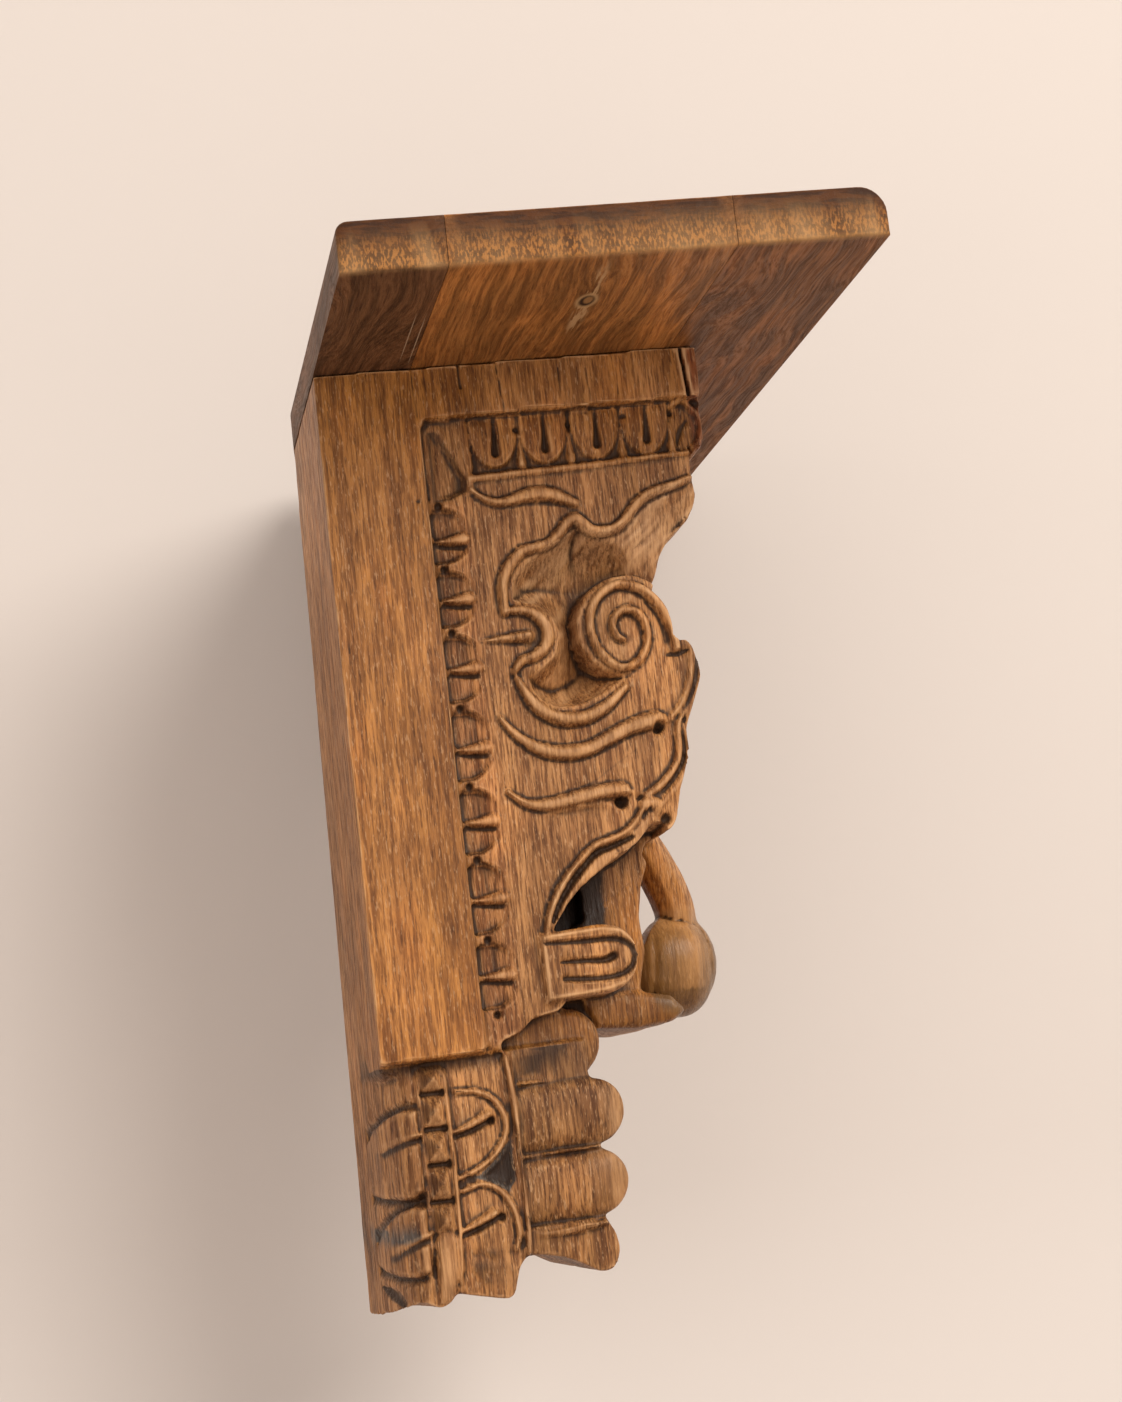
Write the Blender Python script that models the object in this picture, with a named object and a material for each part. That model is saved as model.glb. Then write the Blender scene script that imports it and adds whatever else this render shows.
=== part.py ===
# Carved wall bracket: an old carved timber corbel under a shelf board glued up from three strips.
# Design sizes are in millimetres: x runs out from the wall, y runs from the near carved side
# to the far side, and z is measured from the corbel's top, so it is negative below the shelf.
import math

import bmesh
import bpy
from mathutils import Vector

# Driving dimensions of the shelf board, millimetres
SHELF_DEPTH = 272.0
SHELF_THICKNESS = 26.0
SHELF_NEAR_OVERHANG = 145.0
SHELF_FAR_OVERHANG = 145.0
SHELF_FAR_RELIEF = 17.0
BACK_STRIP_WIDTH = 52.0
FRONT_STRIP_WIDTH = 78.0
FRONT_EDGE_RADIUS = 14.0
BACK_EDGE_RADIUS = 6.0
GLUE_GAP = 0.3

# Driving dimensions of the corbel, millimetres
CORBEL_THICKNESS = 130.0
THICKNESS_GAIN_BELOW = 0.075
TOP_ABOVE_ORIGIN = 240.0
PLANK_WIDTH = 54.0
PLANK_LENGTH = 360.0
BAND_HEIGHT = 31.0
BAND_LENGTH = 208.0
BAND_END_DROP = 58.0
FIELD_DEPTH = 6.0
POCKET_DEPTH = 11.0
BORDER_HEIGHT = 31.0
HOLLOW_DEPTH = 34.0
BASE_SETBACK = 9.0
FOOT_FAR_DROP = 9.0
CORE_SETBACK = 36.0
RISE_TO_FRONT = 0.035

# Raised work, millimetres above the field
HORN_HEIGHT = 3.6
RIM_HEIGHT = 4.6
TONGUE_HEIGHT = 2.6
FINE_HEIGHT = 2.2
CRESCENT_RISE = 2.3
PYRAMID_HEIGHT = 5.5
PETAL_HEIGHT = 2.6
PETAL_RIB_HEIGHT = 5.0

TO_METRES = 0.001
CUT_CLEAR = 8.0
ROOT = 4.0
LIP = 0.4


def thickness_at(z):
    """The timber is thicker towards its lower end."""
    return CORBEL_THICKNESS + THICKNESS_GAIN_BELOW * max(0.0, -z)


def place(x, y, z):
    """Design millimetres to world metres. The far side follows the thickness,
    and everything across the piece rises a little to the front."""
    depth = y
    if y > CORBEL_THICKNESS / 2:
        depth = y + thickness_at(z) - CORBEL_THICKNESS
    return Vector((x, depth - CORBEL_THICKNESS / 2, z + TOP_ABOVE_ORIGIN + RISE_TO_FRONT * x)) * TO_METRES


def place_from_middle(x, aside, z):
    """Design millimetres to world metres, with the depth measured from the middle of the thickness."""
    centred = place(x, 0, z)
    centred.y = (aside + (thickness_at(z) - CORBEL_THICKNESS) / 2) * TO_METRES
    return centred


def clear_scene():
    for thing in list(bpy.data.objects):
        bpy.data.objects.remove(thing, do_unlink=True)


def make_object(name, bm, collection=None):
    """Turns a bmesh into an object with outward faces."""
    bmesh.ops.recalc_face_normals(bm, faces=bm.faces)
    mesh = bpy.data.meshes.new(name)
    bm.to_mesh(mesh)
    bm.free()
    made = bpy.data.objects.new(name, mesh)
    (collection or bpy.context.scene.collection).objects.link(made)
    return made


def loft(name, rings, collection=None, placing=place):
    """A closed solid through rings of placed points, capped at both ends."""
    bm = bmesh.new()
    rows = [[bm.verts.new(placing(*point)) for point in ring] for ring in rings]
    for low, high in zip(rows, rows[1:]):
        for index in range(len(low)):
            after = (index + 1) % len(low)
            bm.faces.new((low[index], low[after], high[after], high[index]))
    bm.faces.new(rows[0])
    bm.faces.new(rows[-1])
    bm.normal_update()
    bmesh.ops.triangulate(bm, faces=[face for face in bm.faces if len(face.verts) > 4])
    return make_object(name, bm, collection)


def smooth(points, steps=4):
    """A smooth curve through the points, with so many steps between each two."""
    padded = [points[0], *points, points[-1]]
    made = []
    for index in range(1, len(padded) - 2):
        before, start, end, after = [Vector(p) for p in padded[index - 1 : index + 3]]
        for step in range(steps):
            t = step / steps
            made.append(
                0.5
                * (
                    2 * start
                    + (end - before) * t
                    + (2 * before - 5 * start + 4 * end - after) * t * t
                    + (3 * start - before - 3 * end + after) * t * t * t
                )
            )
    made.append(Vector(points[-1]))
    return [tuple(p) for p in made]


def inset(outline, amount):
    """The outline moved inward by an amount, corner by corner."""
    turn = sum(
        a[0] * b[1] - b[0] * a[1] for a, b in zip(outline, outline[1:] + outline[:1])
    )
    sign = 1.0 if turn > 0 else -1.0
    moved = []
    for index, point in enumerate(outline):
        before = Vector(outline[index - 1])
        here = Vector(point)
        after = Vector(outline[(index + 1) % len(outline)])
        first = (here - before).normalized()
        second = (after - here).normalized()
        normal = Vector((-(first.y + second.y), first.x + second.x))
        if normal.length < 1e-6:
            normal = Vector((-first.y, first.x))
        normal = normal.normalized() * sign
        moved.append(tuple(here + normal * amount))
    return moved


def prism(name, outline, near, far, collection=None, ease=0.0):
    """A solid of the outline from near to far, with its two arrises eased."""
    if ease <= 0.0:
        rings = [[(x, near, z) for x, z in outline], [(x, far, z) for x, z in outline]]
        return loft(name, rings, collection)
    small = inset(outline, ease)
    rings = [
        [(x, near, z) for x, z in small],
        [(x, near + ease, z) for x, z in outline],
        [(x, far - ease, z) for x, z in outline],
        [(x, far, z) for x, z in small],
    ]
    return loft(name, rings, collection)


def width_along(share, start, middle, end):
    """A width that runs from start over middle to end along a stroke."""
    if share < 0.5:
        return start + (middle - start) * math.sin(share * math.pi)
    return end + (middle - end) * math.sin(share * math.pi)


def side_of(y, far_side):
    """Mirrors a depth to the far side."""
    return CORBEL_THICKNESS - y if far_side else y


def ridge(name, points, widths, height, collection, base=FIELD_DEPTH, far_side=False, steps=4):
    """A raised rib along a smooth line: widths are its half widths at its start, middle and end."""
    line = smooth(points, steps)
    rings = []
    for index, (x, z) in enumerate(line):
        before = Vector(line[max(index - 1, 0)])
        after = Vector(line[min(index + 1, len(line) - 1)])
        along = (after - before).normalized()
        across = Vector((-along.y, along.x))
        share = index / (len(line) - 1)
        half = width_along(share, *widths)
        tall = height * min(1.0, 0.35 + 0.65 * half / widths[1])
        ring = []
        for reach, rise in ((-1.25, -ROOT), (-0.45, tall), (0.3, tall), (1.2, -ROOT)):
            spot = Vector((x, z)) + across * (reach * half)
            ring.append((spot.x, side_of(base - rise, far_side), spot.y))
        rings.append(ring)
    return loft(name, rings, collection)


def add_bud(parts):
    """The bud: a drop with its lower end a little drawn out."""
    bm = bmesh.new()
    bmesh.ops.create_uvsphere(bm, u_segments=20, v_segments=12, radius=1.0)
    for vert in bm.verts:
        x, y, z = vert.co
        drawn = 1.0 + BUD_TIP * max(0.0, -z)
        height = BUD_Z + z * BUD_RADII[2] * drawn
        vert.co = place_from_middle(BUD_X + x * BUD_RADII[0], y * BUD_RADII[1], height)
    make_object("bud", bm, parts)


def arc(centre, radii, start, end, count):
    """Points on an ellipse from start to end degrees."""
    points = []
    for index in range(count + 1):
        angle = math.radians(start + (end - start) * index / count)
        points.append((centre[0] + radii[0] * math.cos(angle), centre[1] + radii[1] * math.sin(angle)))
    return points


# Outlines and lines of the carving: x out from the wall and z below the shelf, millimetres

# Front profile of the carved block, from the band down to the neck
FRONT_PROFILE = smooth(
    [(199, -56), (199, -72), (201, -81), (196, -93), (186, -101), (179, -111), (176, -121), (168, -133)], 2
) + smooth([(173, -140), (177, -150), (177, -160)], 2) + smooth(
    [(185, -159.5), (189.5, -168), (190, -181), (184, -196), (179, -208), (178, -222), (172, -238),
     (168, -254), (163, -260), (157, -261), (153, -271), (146, -279)], 2
)

# Lower outline of the near panel, from the neck back to the plank
PANEL_FOOT = [(128, -286), (112, -296), (100, -304), (98, -341), (94, -344.5), (80, -346.5), (74, -352),
              (60, -357)]

# Knots of the scalloped border, from the top down
FIRST_KNOT = -76.0
KNOT_STEPS = (34.0, 34.0, 40.0, 41.0, 38.0, 41.0, 38.0)
KNOT_X = PLANK_WIDTH + 6.0
SCALLOP_REACH = 16.0

# Thinner neck behind the leaf, the stem in front of it, the bud and the small leaf below
NECK = [(70, -262), (150, -262), (157, -272), (152, -284), (149, -300), (150, -318), (145, -338),
        (128, -352), (100, -360), (70, -360)]
STEM_LINE = smooth([(161, -256), (168, -269), (174, -283), (178, -297), (178, -312)], 3)
STEM_HALF_WIDTH = 11.0
STEM_HALF_DEPTH = 17.0
BUD_X = 175.0
BUD_Z = -325.5
BUD_RADII = (22.5, 27.0, 27.5)
BUD_TIP = 0.05
BUD_WEB = [(130, -312), (168, -316), (168, -340), (130, -342)]
WEB_SETBACK = 62.0
CUP_LEAF = [(112, -340), (140, -338), (160, -343), (168, -352), (160, -357), (142, -358), (118, -355)]

# Slotted tongue below the crescent leaf: straight sides and a round end
SLOTTED_TONGUE = [(82, -304), (118, -303.5), *arc((121, -321.5), (17, 17.5), 82, -82, 10), (82, -340)]
TONGUE_BED = [(91, -312.5), (112, -312), *arc((120, -320.5), (11, 8.5), 75, -75, 8), (97, -328.5)]
SLOT = [(97, -320), (122, -320.2), (124, -318.5), (127, -321), (125, -324), (122, -323.3), (98, -322.3)]

# Foot: its outline, the rolls at its front with start, end, top, low edge and sink, and the toe
FOOT = [(0, -340), (62, -340), (62, -461), (60, -470), (57, -480), (54, -481.5), (28, -474.5), (24, -478.5),
        (20, -480.5), (15, -478.5), (11, -476), (4, -479), (0, -480.5)]
FOOT_FRONT = 62.0
ROLLS = {
    "roll_top": (50, 117, -343, -379, 9.0),
    "roll_upper": (50, 124, -380, -413.5, 0.0),
    "roll_lower": (50, 122, -415.5, -448.5, 0.0),
}
TOE = [(50, -450), (108, -450), (112.5, -458), (114, -466), (112, -473), (108, -476.5), (102, -476),
       (94, -471), (84, -466), (72, -463), (50, -462)]
ROLL_WEB = [(50, -360), (108, -360), (106, -460), (50, -460)]
FOOT_FILLET = [(59, -352), (62, -352), (68, -390), (69, -430), (66, -461), (62, -466), (61, -430), (61, -390)]
PYRAMID_X = 24.5
PYRAMID_HALF = 7.0
PYRAMID_PITCH = 17.6
PYRAMID_TOP = -366.0
PYRAMID_COUNT = 6
PETALS = {
    "wall_upper": (17.0, -15.5, -394.0, 29.0),
    "wall_lower": (17.0, -15.5, -446.0, 20.0),
    "front_upper": (32.0, 26.0, -393.0, 25.0),
    "front_lower": (32.0, 26.0, -443.0, 19.0),
}

# Tongues of the top border
TONGUE_PITCH = 28.0
FIRST_TONGUE_X = 92.0
TONGUE_COUNT = 5
TONGUE_HALF = 12.5
TONGUE_ROUND = 13.0
HALF_TONGUE_SHIFT = 7.0

HORNS = {
    "horn_top": [(80, -68), (86, -75), (96, -78), (104, -75.5), (114, -73.5), (124, -77), (133, -83)],
    "horn_middle": [(80, -193), (89, -204), (99, -211.5), (112, -215), (124, -214), (136, -208), (148, -205),
                    (162, -203)],
    "horn_low": [(79, -231), (87, -237.5), (98, -240), (110, -239), (122, -236), (134, -234.5), (141, -237)],
}
LEAF_RIM = [(90, -137), (91, -128), (97, -116), (108, -106), (118, -102), (126, -94.5), (131.5, -93),
            (137, -96.5), (145, -98.5), (153, -96.5), (161, -89), (171, -81), (184, -76.5), (196, -74.5)]
LOWER_RIM = [(92, -176), (97, -187), (106, -194.5), (118, -197.5), (130, -196), (140, -190), (148, -182)]
HOOK_RIM = [(90, -137), (99, -138), (107, -143), (111, -151), (107, -160), (98, -164.5), (90, -166)]
FRONT_RIM = [(176, -199), (172, -206), (172, -218), (168, -229), (160, -238), (150, -241)]
CRESCENT_RIM = [(149, -248), (145, -251.5), (136, -258), (124, -262), (113, -268.5), (103, -278), (96, -288),
                (91.5, -299), (90, -309)]

CRESCENT = smooth(
    [(153, -247), (146, -252), (136, -258), (124, -262), (113, -268.5), (103, -278), (96, -288),
     (91, -300)], 2
) + smooth(
    [(95, -306), (100, -299), (108, -291), (118, -283), (128, -277), (139, -272.5), (148, -266),
     (154, -257)], 2
)

SCROLL_CENTRE = (152.0, -150.0)
SCROLL_RADIUS = 25.0
SCROLL_TURNS = 1.62
SCROLL_FACE_DEPTH = 2.4

# Scooped hollow round the scroll, and the cove below the leaf's top
SCOOP = [(95, -131), (99, -119), (109, -110), (120, -104.5), (130, -98), (141, -103), (152, -103),
         (162, -112), (160, -150), (150, -178), (139, -186), (127, -192), (113, -191), (102, -184),
         (97, -174), (104, -167), (112, -160), (115.5, -150), (111, -141), (103, -135)]
SCOOP_MIDDLE = (130.0, -146.0)
COVE = [(168, -88), (206, -80), (196, -112), (182, -126), (171, -122), (166, -105)]
COVE_MIDDLE = (182.0, -104.0)
COVE_DEPTH = 15.0


def scallop_knots():
    heights = [FIRST_KNOT]
    for step in KNOT_STEPS:
        heights.append(heights[-1] - step)
    return heights


def scroll_line(reach=1.0):
    """The rim of the scroll, from its outside at the lower left to its eye."""
    points = []
    count = 30
    for index in range(count + 1):
        share = index / count
        angle = math.radians(215 - 360 * SCROLL_TURNS * share)
        radius = reach * (SCROLL_RADIUS - 2.0) * (1.0 - 0.78 * share)
        across = radius * math.cos(angle)
        points.append((SCROLL_CENTRE[0] + across, SCROLL_CENTRE[1] + radius * math.sin(angle)))
    return points


def add_field(parts):
    """The carved block behind the frame, a little lower than the frame on both sides."""
    outline = [(40, -20), (199, -20), *FRONT_PROFILE, *PANEL_FOOT, (40, -357)]
    prism("block", outline, FIELD_DEPTH, CORBEL_THICKNESS - FIELD_DEPTH, parts)


def add_core(parts):
    """The thinner neck behind the leaf, and the pendant bud that hangs from it."""
    prism("neck", NECK, CORE_SETBACK, CORBEL_THICKNESS - CORE_SETBACK, parts, ease=1.5)
    rings = []
    for index, (x, z) in enumerate(STEM_LINE):
        before = Vector(STEM_LINE[max(index - 1, 0)])
        after = Vector(STEM_LINE[min(index + 1, len(STEM_LINE) - 1)])
        along = (after - before).normalized()
        across = Vector((-along.y, along.x))
        ring = []
        for step in range(8):
            angle = math.tau * (step + 0.5) / 8
            spot = Vector((x, z)) + across * (STEM_HALF_WIDTH * math.cos(angle))
            ring.append((spot.x, STEM_HALF_DEPTH * math.sin(angle), spot.y))
        rings.append(ring)
    loft("stem", rings, parts, placing=place_from_middle)
    add_bud(parts)
    prism("bud_web", BUD_WEB, WEB_SETBACK, CORBEL_THICKNESS - WEB_SETBACK, parts)
    prism("cup_leaf", CUP_LEAF, CORE_SETBACK - 4, CORBEL_THICKNESS - CORE_SETBACK + 4, parts, ease=3.0)


def add_frame(parts):
    """The plain L of the frame: the plank up the wall side and the band under the shelf."""
    band_end = arc((BAND_LENGTH - 6, -BAND_END_DROP + 7), (6, 7), 0, -90, 3)
    outline = [(0, -GLUE_GAP), (BAND_LENGTH, -GLUE_GAP), *band_end,
               (BAND_LENGTH - 9, -BAND_HEIGHT - 6), (BAND_LENGTH - 9, -BAND_HEIGHT),
               (PLANK_WIDTH, -BAND_HEIGHT), (PLANK_WIDTH, -PLANK_LENGTH), (0, -PLANK_LENGTH)]
    prism("frame", outline, 0, CORBEL_THICKNESS, parts)


def add_top_border(parts, cuts):
    """Round tongues hanging from the band, with a drop-shaped groove in each and a fillet below."""
    low = -BAND_HEIGHT - BORDER_HEIGHT
    for index in range(TONGUE_COUNT):
        x = FIRST_TONGUE_X + TONGUE_PITCH * index
        half = TONGUE_HALF
        if index == TONGUE_COUNT - 1:
            x = x - HALF_TONGUE_SHIFT
            half = TONGUE_HALF / 2
        bend = low + TONGUE_ROUND + 3.0
        outline = [(x - half, -BAND_HEIGHT + ROOT), (x - half, bend + 1),
                   *arc((x, bend), (half, TONGUE_ROUND), 180, 360, 8)[1:-1],
                   (x + half, bend + 1), (x + half, -BAND_HEIGHT + ROOT)]
        prism(f"tongue_{index}", outline, FIELD_DEPTH - TONGUE_HEIGHT, FIELD_DEPTH + ROOT, parts, ease=1.4)
        if index < TONGUE_COUNT - 1:
            drop = [(x - 0.9, -BAND_HEIGHT - 3), *arc((x, bend - 4.5), (2.6, 3.6), 160, 380, 5),
                    (x + 0.9, -BAND_HEIGHT - 3)]
            prism(f"drop_{index}", drop, -CUT_CLEAR, FIELD_DEPTH + 1.2, cuts)
    fillet = [(76, low + 1), (200, low + 3), (200, low - 0.5), (76, low - 4)]
    for tag, level, out in (("near", FIELD_DEPTH, -1), ("far", CORBEL_THICKNESS - FIELD_DEPTH, 1)):
        near, far = sorted((level + out * FINE_HEIGHT, level - out * ROOT))
        prism(f"fillet_{tag}", fillet, near, far, parts, ease=0.8)


def add_side_border(parts, cuts):
    """Scalloped pockets along the plank, with a pointed rib in each."""
    knots = scallop_knots()
    for index, (top, low) in enumerate(zip(knots, knots[1:])):
        middle = (top + low) / 2
        half = (top - low) / 2
        pocket = [(PLANK_WIDTH + LIP, top - 2.4),
                  *arc((KNOT_X - 4, middle), (SCALLOP_REACH + 3.0, half - 2.0), 84, -84, 9),
                  (PLANK_WIDTH + LIP, low + 2.4)]
        prism(f"pocket_{index}", pocket, -CUT_CLEAR, POCKET_DEPTH, cuts)
        tip = PLANK_WIDTH + 17
        rib = [(PLANK_WIDTH + 0.5, middle + 0.3), (PLANK_WIDTH + 9, middle + 1.6), (tip, middle + 2.8),
               (tip + 1.2, middle - 1.0), (tip - 1.0, middle - 3.0), (PLANK_WIDTH + 9, middle - 2.0),
               (PLANK_WIDTH + 0.5, middle - 0.6)]
        prism(f"rib_{index}", rib, POCKET_DEPTH - 6.0, POCKET_DEPTH + ROOT, parts, ease=0.5)
    corner = [(LIP, -36), (6, -36), (12, -46), (19, -60), (18, -70), (10, -73), (LIP, -73)]
    corner = [(PLANK_WIDTH + x, z) for x, z in corner]
    prism("corner_pocket", corner, -CUT_CLEAR, POCKET_DEPTH, cuts)


def add_leafwork(parts, cuts, late):
    """Horn-shaped ribs, the leaf's rims, the deep hollow and the scroll, on both sides."""
    for far_side in (False, True):
        tag = "far" if far_side else "near"
        for name, points in HORNS.items():
            ridge(f"{name}_{tag}", points, (1.2, 3.4, 2.6), HORN_HEIGHT, parts, far_side=far_side, steps=2)
        ridge(f"leaf_rim_{tag}", LEAF_RIM, (2.2, 3.0, 2.0), RIM_HEIGHT, parts, far_side=far_side, steps=2)
        ridge(f"lower_rim_{tag}", LOWER_RIM, (2.0, 3.2, 2.2), RIM_HEIGHT, parts, far_side=far_side, steps=2)
        ridge(f"crescent_rim_{tag}", CRESCENT_RIM, (2.0, 3.4, 1.4), RIM_HEIGHT, parts,
              far_side=far_side, steps=2)
        ridge(f"front_rim_{tag}", FRONT_RIM, (1.6, 2.2, 2.0), FINE_HEIGHT, parts, far_side=far_side, steps=2)
        add_hollow(tag, far_side, cuts)
        add_scroll(tag, far_side, late)
    ridge("hook_rim", HOOK_RIM, (1.8, 2.8, 1.6), RIM_HEIGHT, late, steps=2)
    ridge("spike", [(75, -151), (88, -151.5), (100, -151.5)], (0.6, 1.9, 3.0), HORN_HEIGHT, parts, steps=2)


def shrinking(outline, middle, levels, far_side):
    """Rings of the outline drawn in towards its middle, one for each pair of share and depth."""
    return [
        [(middle[0] + (x - middle[0]) * share, side_of(depth, far_side),
          middle[1] + (z - middle[1]) * share) for x, z in outline]
        for share, depth in levels
    ]


def add_hollow(tag, far_side, cuts):
    """The scooped hollow between the leaf's rim and the scroll, and the cove under the leaf's top."""
    levels = ((1.0, -CUT_CLEAR), (1.0, FIELD_DEPTH), (0.92, HOLLOW_DEPTH * 0.41),
              (0.74, HOLLOW_DEPTH * 0.75), (0.45, HOLLOW_DEPTH))
    loft(f"scoop_{tag}", shrinking(SCOOP, SCOOP_MIDDLE, levels, far_side), cuts)
    levels = ((1.0, -CUT_CLEAR), (1.0, FIELD_DEPTH + 1), (0.55, COVE_DEPTH))
    loft(f"cove_{tag}", shrinking(COVE, COVE_MIDDLE, levels, far_side), cuts)


def add_scroll(tag, far_side, parts):
    """The scroll stands out of the hollow as a short drum with a spiral rim."""
    outer = arc(SCROLL_CENTRE, (SCROLL_RADIUS, SCROLL_RADIUS + 3.0), 0, 360 - 15, 23)
    levels = ((0.9, CORE_SETBACK + 8), (0.97, 14.0), (1.0, SCROLL_FACE_DEPTH + 2.1),
              (0.93, SCROLL_FACE_DEPTH))
    loft(f"scroll_{tag}", shrinking(outer, SCROLL_CENTRE, levels, far_side), parts)
    ridge(f"scroll_rim_{tag}", scroll_line(), (2.6, 2.2, 1.6), SCROLL_FACE_DEPTH, parts,
          base=SCROLL_FACE_DEPTH, far_side=far_side, steps=1)


def add_crescent(parts):
    """The lower leaf that overhangs the dark pit, and the slotted tongue below it."""
    near, far = FIELD_DEPTH - CRESCENT_RISE, CORE_SETBACK + 6.0
    prism("crescent", CRESCENT, near, far, parts, ease=1.3)
    prism("crescent_far", CRESCENT, CORBEL_THICKNESS - far, CORBEL_THICKNESS - near, parts, ease=1.3)


def add_slotted_tongue(parts, cuts):
    """The tongue below the crescent, with a rim, a sunk bed and a slot along its middle."""
    prism("slotted_tongue", SLOTTED_TONGUE, FIELD_DEPTH - 4.0, CORE_SETBACK + 6.0, parts, ease=2.0)
    prism("slotted_tongue_far", SLOTTED_TONGUE, CORBEL_THICKNESS - CORE_SETBACK - 6.0,
          CORBEL_THICKNESS - FIELD_DEPTH + 2.0, parts, ease=2.0)
    prism("tongue_bed", TONGUE_BED, -CUT_CLEAR, FIELD_DEPTH - 1.0, cuts)
    prism("slot", SLOT, -CUT_CLEAR, FIELD_DEPTH + 3.0, cuts)


def add_base(parts):
    """The carved foot: petals, a column of pyramids, more petals and a stack of rolls."""
    near = BASE_SETBACK
    far = CORBEL_THICKNESS - BASE_SETBACK
    back = CORBEL_THICKNESS - LIP
    dropped = [(x, back, z - FOOT_FAR_DROP * (1 - x / FOOT_FRONT)) for x, z in FOOT[2:]]
    loft("foot", [[(x, near, z) for x, z in FOOT], [(x, back, z) for x, z in FOOT[:2]] + dropped], parts)
    for name, (start, end, top, low, sink) in ROLLS.items():
        half = (top - low) / 2
        round_end = arc((end - half, (top + low) / 2), (half, half), 90, -90, 10)[1:-1]
        outline = [(start, top), (end - half, top), *round_end, (end - half, low), (start, low)]
        prism(name, outline, near + sink + 1.5, far - sink - 1.5, parts, ease=3.2)
    prism("roll_toe", TOE, near + 2.5, far - 2.5, parts, ease=1.6)
    prism("roll_web", ROLL_WEB, near + 6.0, far - 6.0, parts)
    prism("foot_fillet", FOOT_FILLET, near - 2.0, near + ROOT + LIP, parts, ease=0.3)
    add_pyramids(parts, near)
    add_foot_petals(parts, near)


def add_pyramids(parts, near):
    """A column of blunt pyramids between the two rows of petals."""
    half = PYRAMID_PITCH / 2 - 0.6
    corners = ((-PYRAMID_HALF, half), (PYRAMID_HALF, half), (PYRAMID_HALF, -half), (-PYRAMID_HALF, -half))
    for index in range(PYRAMID_COUNT):
        middle = PYRAMID_TOP - PYRAMID_PITCH * (index + 0.5)
        rings = []
        for share, depth in ((1.0, near + ROOT), (1.0, near), (0.18, near - PYRAMID_HEIGHT)):
            rings.append([(PYRAMID_X + dx * share, depth, middle + dz * share) for dx, dz in corners])
        loft(f"pyramid_{index}", rings, parts)


def add_foot_petals(parts, near):
    """Petals that point to the wall and petals that point to the front, each with a pointed rib."""
    for name, (root, reach, middle, half) in PETALS.items():
        towards = 1 if reach > 0 else -1
        round_end = arc((0, middle), (abs(reach), half), 72, -72, 9)
        outline = [(root, middle + half * 0.92), *[(root + towards * x, z) for x, z in round_end],
                   (root, middle - half * 0.92)]
        prism(f"petal_{name}", outline, near - PETAL_HEIGHT, near + ROOT, parts, ease=1.5)
        tip = root + reach * 0.78
        rib = [(root + towards * 2, middle - 0.8), (tip, middle + 2.6), (tip + towards * 2, middle),
               (tip, middle - 3.0), (root + towards * 2, middle - 2.0)]
        prism(f"petal_rib_{name}", rib, near - PETAL_RIB_HEIGHT, near + ROOT, parts, ease=0.5)


def gather(name):
    collection = bpy.data.collections.new(name)
    bpy.context.scene.collection.children.link(collection)
    return collection


def hide_guides(collection):
    for guide in collection.objects:
        guide.hide_render = True
        guide.display_type = "WIRE"


def combine(target, collection, operation):
    modifier = target.modifiers.new(operation.title(), "BOOLEAN")
    modifier.operation = operation
    modifier.operand_type = "COLLECTION"
    modifier.collection = collection
    modifier.solver = "EXACT"


def wood(name, colour, roughness):
    material = bpy.data.materials.new(name)
    material.use_nodes = True
    shader = material.node_tree.nodes["Principled BSDF"]
    shader.inputs["Base Color"].default_value = (*colour, 1.0)
    shader.inputs["Roughness"].default_value = roughness
    shader.inputs["Metallic"].default_value = 0.0
    return material


def make_corbel():
    """One carved timber: frame, block, foot and bud joined, with the hollows cut out."""
    parts = gather("corbel_parts")
    cuts = gather("corbel_cuts")
    late = gather("corbel_late_parts")
    add_field(parts)
    add_core(late)
    add_frame(parts)
    add_top_border(parts, cuts)
    add_side_border(late, cuts)
    add_leafwork(parts, cuts, late)
    add_crescent(late)
    add_slotted_tongue(parts, cuts)
    add_base(late)
    seed = prism("carved_corbel", [(2, -4), (50, -4), (50, -355), (2, -355)], 3, CORBEL_THICKNESS - 3)
    combine(seed, parts, "UNION")
    combine(seed, cuts, "DIFFERENCE")
    combine(seed, late, "UNION")
    for collection in (parts, cuts, late):
        hide_guides(collection)
    seed.data.materials.append(wood("old_carved_wood", (0.27, 0.14, 0.06), 0.62))
    return seed


def strip_outline(start, end, front_radius=0.0, back_radius=0.0):
    """The strip's end profile, with a rounded upper arris where one is worn or moulded."""
    outline = [(start, 0.0), (end, 0.0)]
    if front_radius > 0:
        centre = (end - front_radius, SHELF_THICKNESS - front_radius)
        outline += arc(centre, (front_radius, front_radius), 0, 90, 8)
    else:
        outline.append((end, SHELF_THICKNESS))
    if back_radius > 0:
        centre = (start + back_radius, SHELF_THICKNESS - back_radius)
        outline += arc(centre, (back_radius, back_radius), 90, 180, 5)
    else:
        outline.append((start, SHELF_THICKNESS))
    return outline


def make_strip(name, start, end, colour, relief=0.0, **radii):
    """A strip of the board. Past the corbel its rear edge may run off the wall by the relief."""
    far_end = CORBEL_THICKNESS + SHELF_FAR_OVERHANG
    rings = []
    for y, edge in ((-SHELF_NEAR_OVERHANG, start), (CORBEL_THICKNESS, start), (far_end, start + relief)):
        rings.append([(x, y, z) for x, z in strip_outline(edge, end, **radii)])
    strip = loft(name, rings)
    strip.data.materials.append(wood(name + "_wood", colour, 0.55))
    strip.data.shade_smooth()
    strip.data.set_sharp_from_angle(angle=math.radians(30))
    return strip


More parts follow.
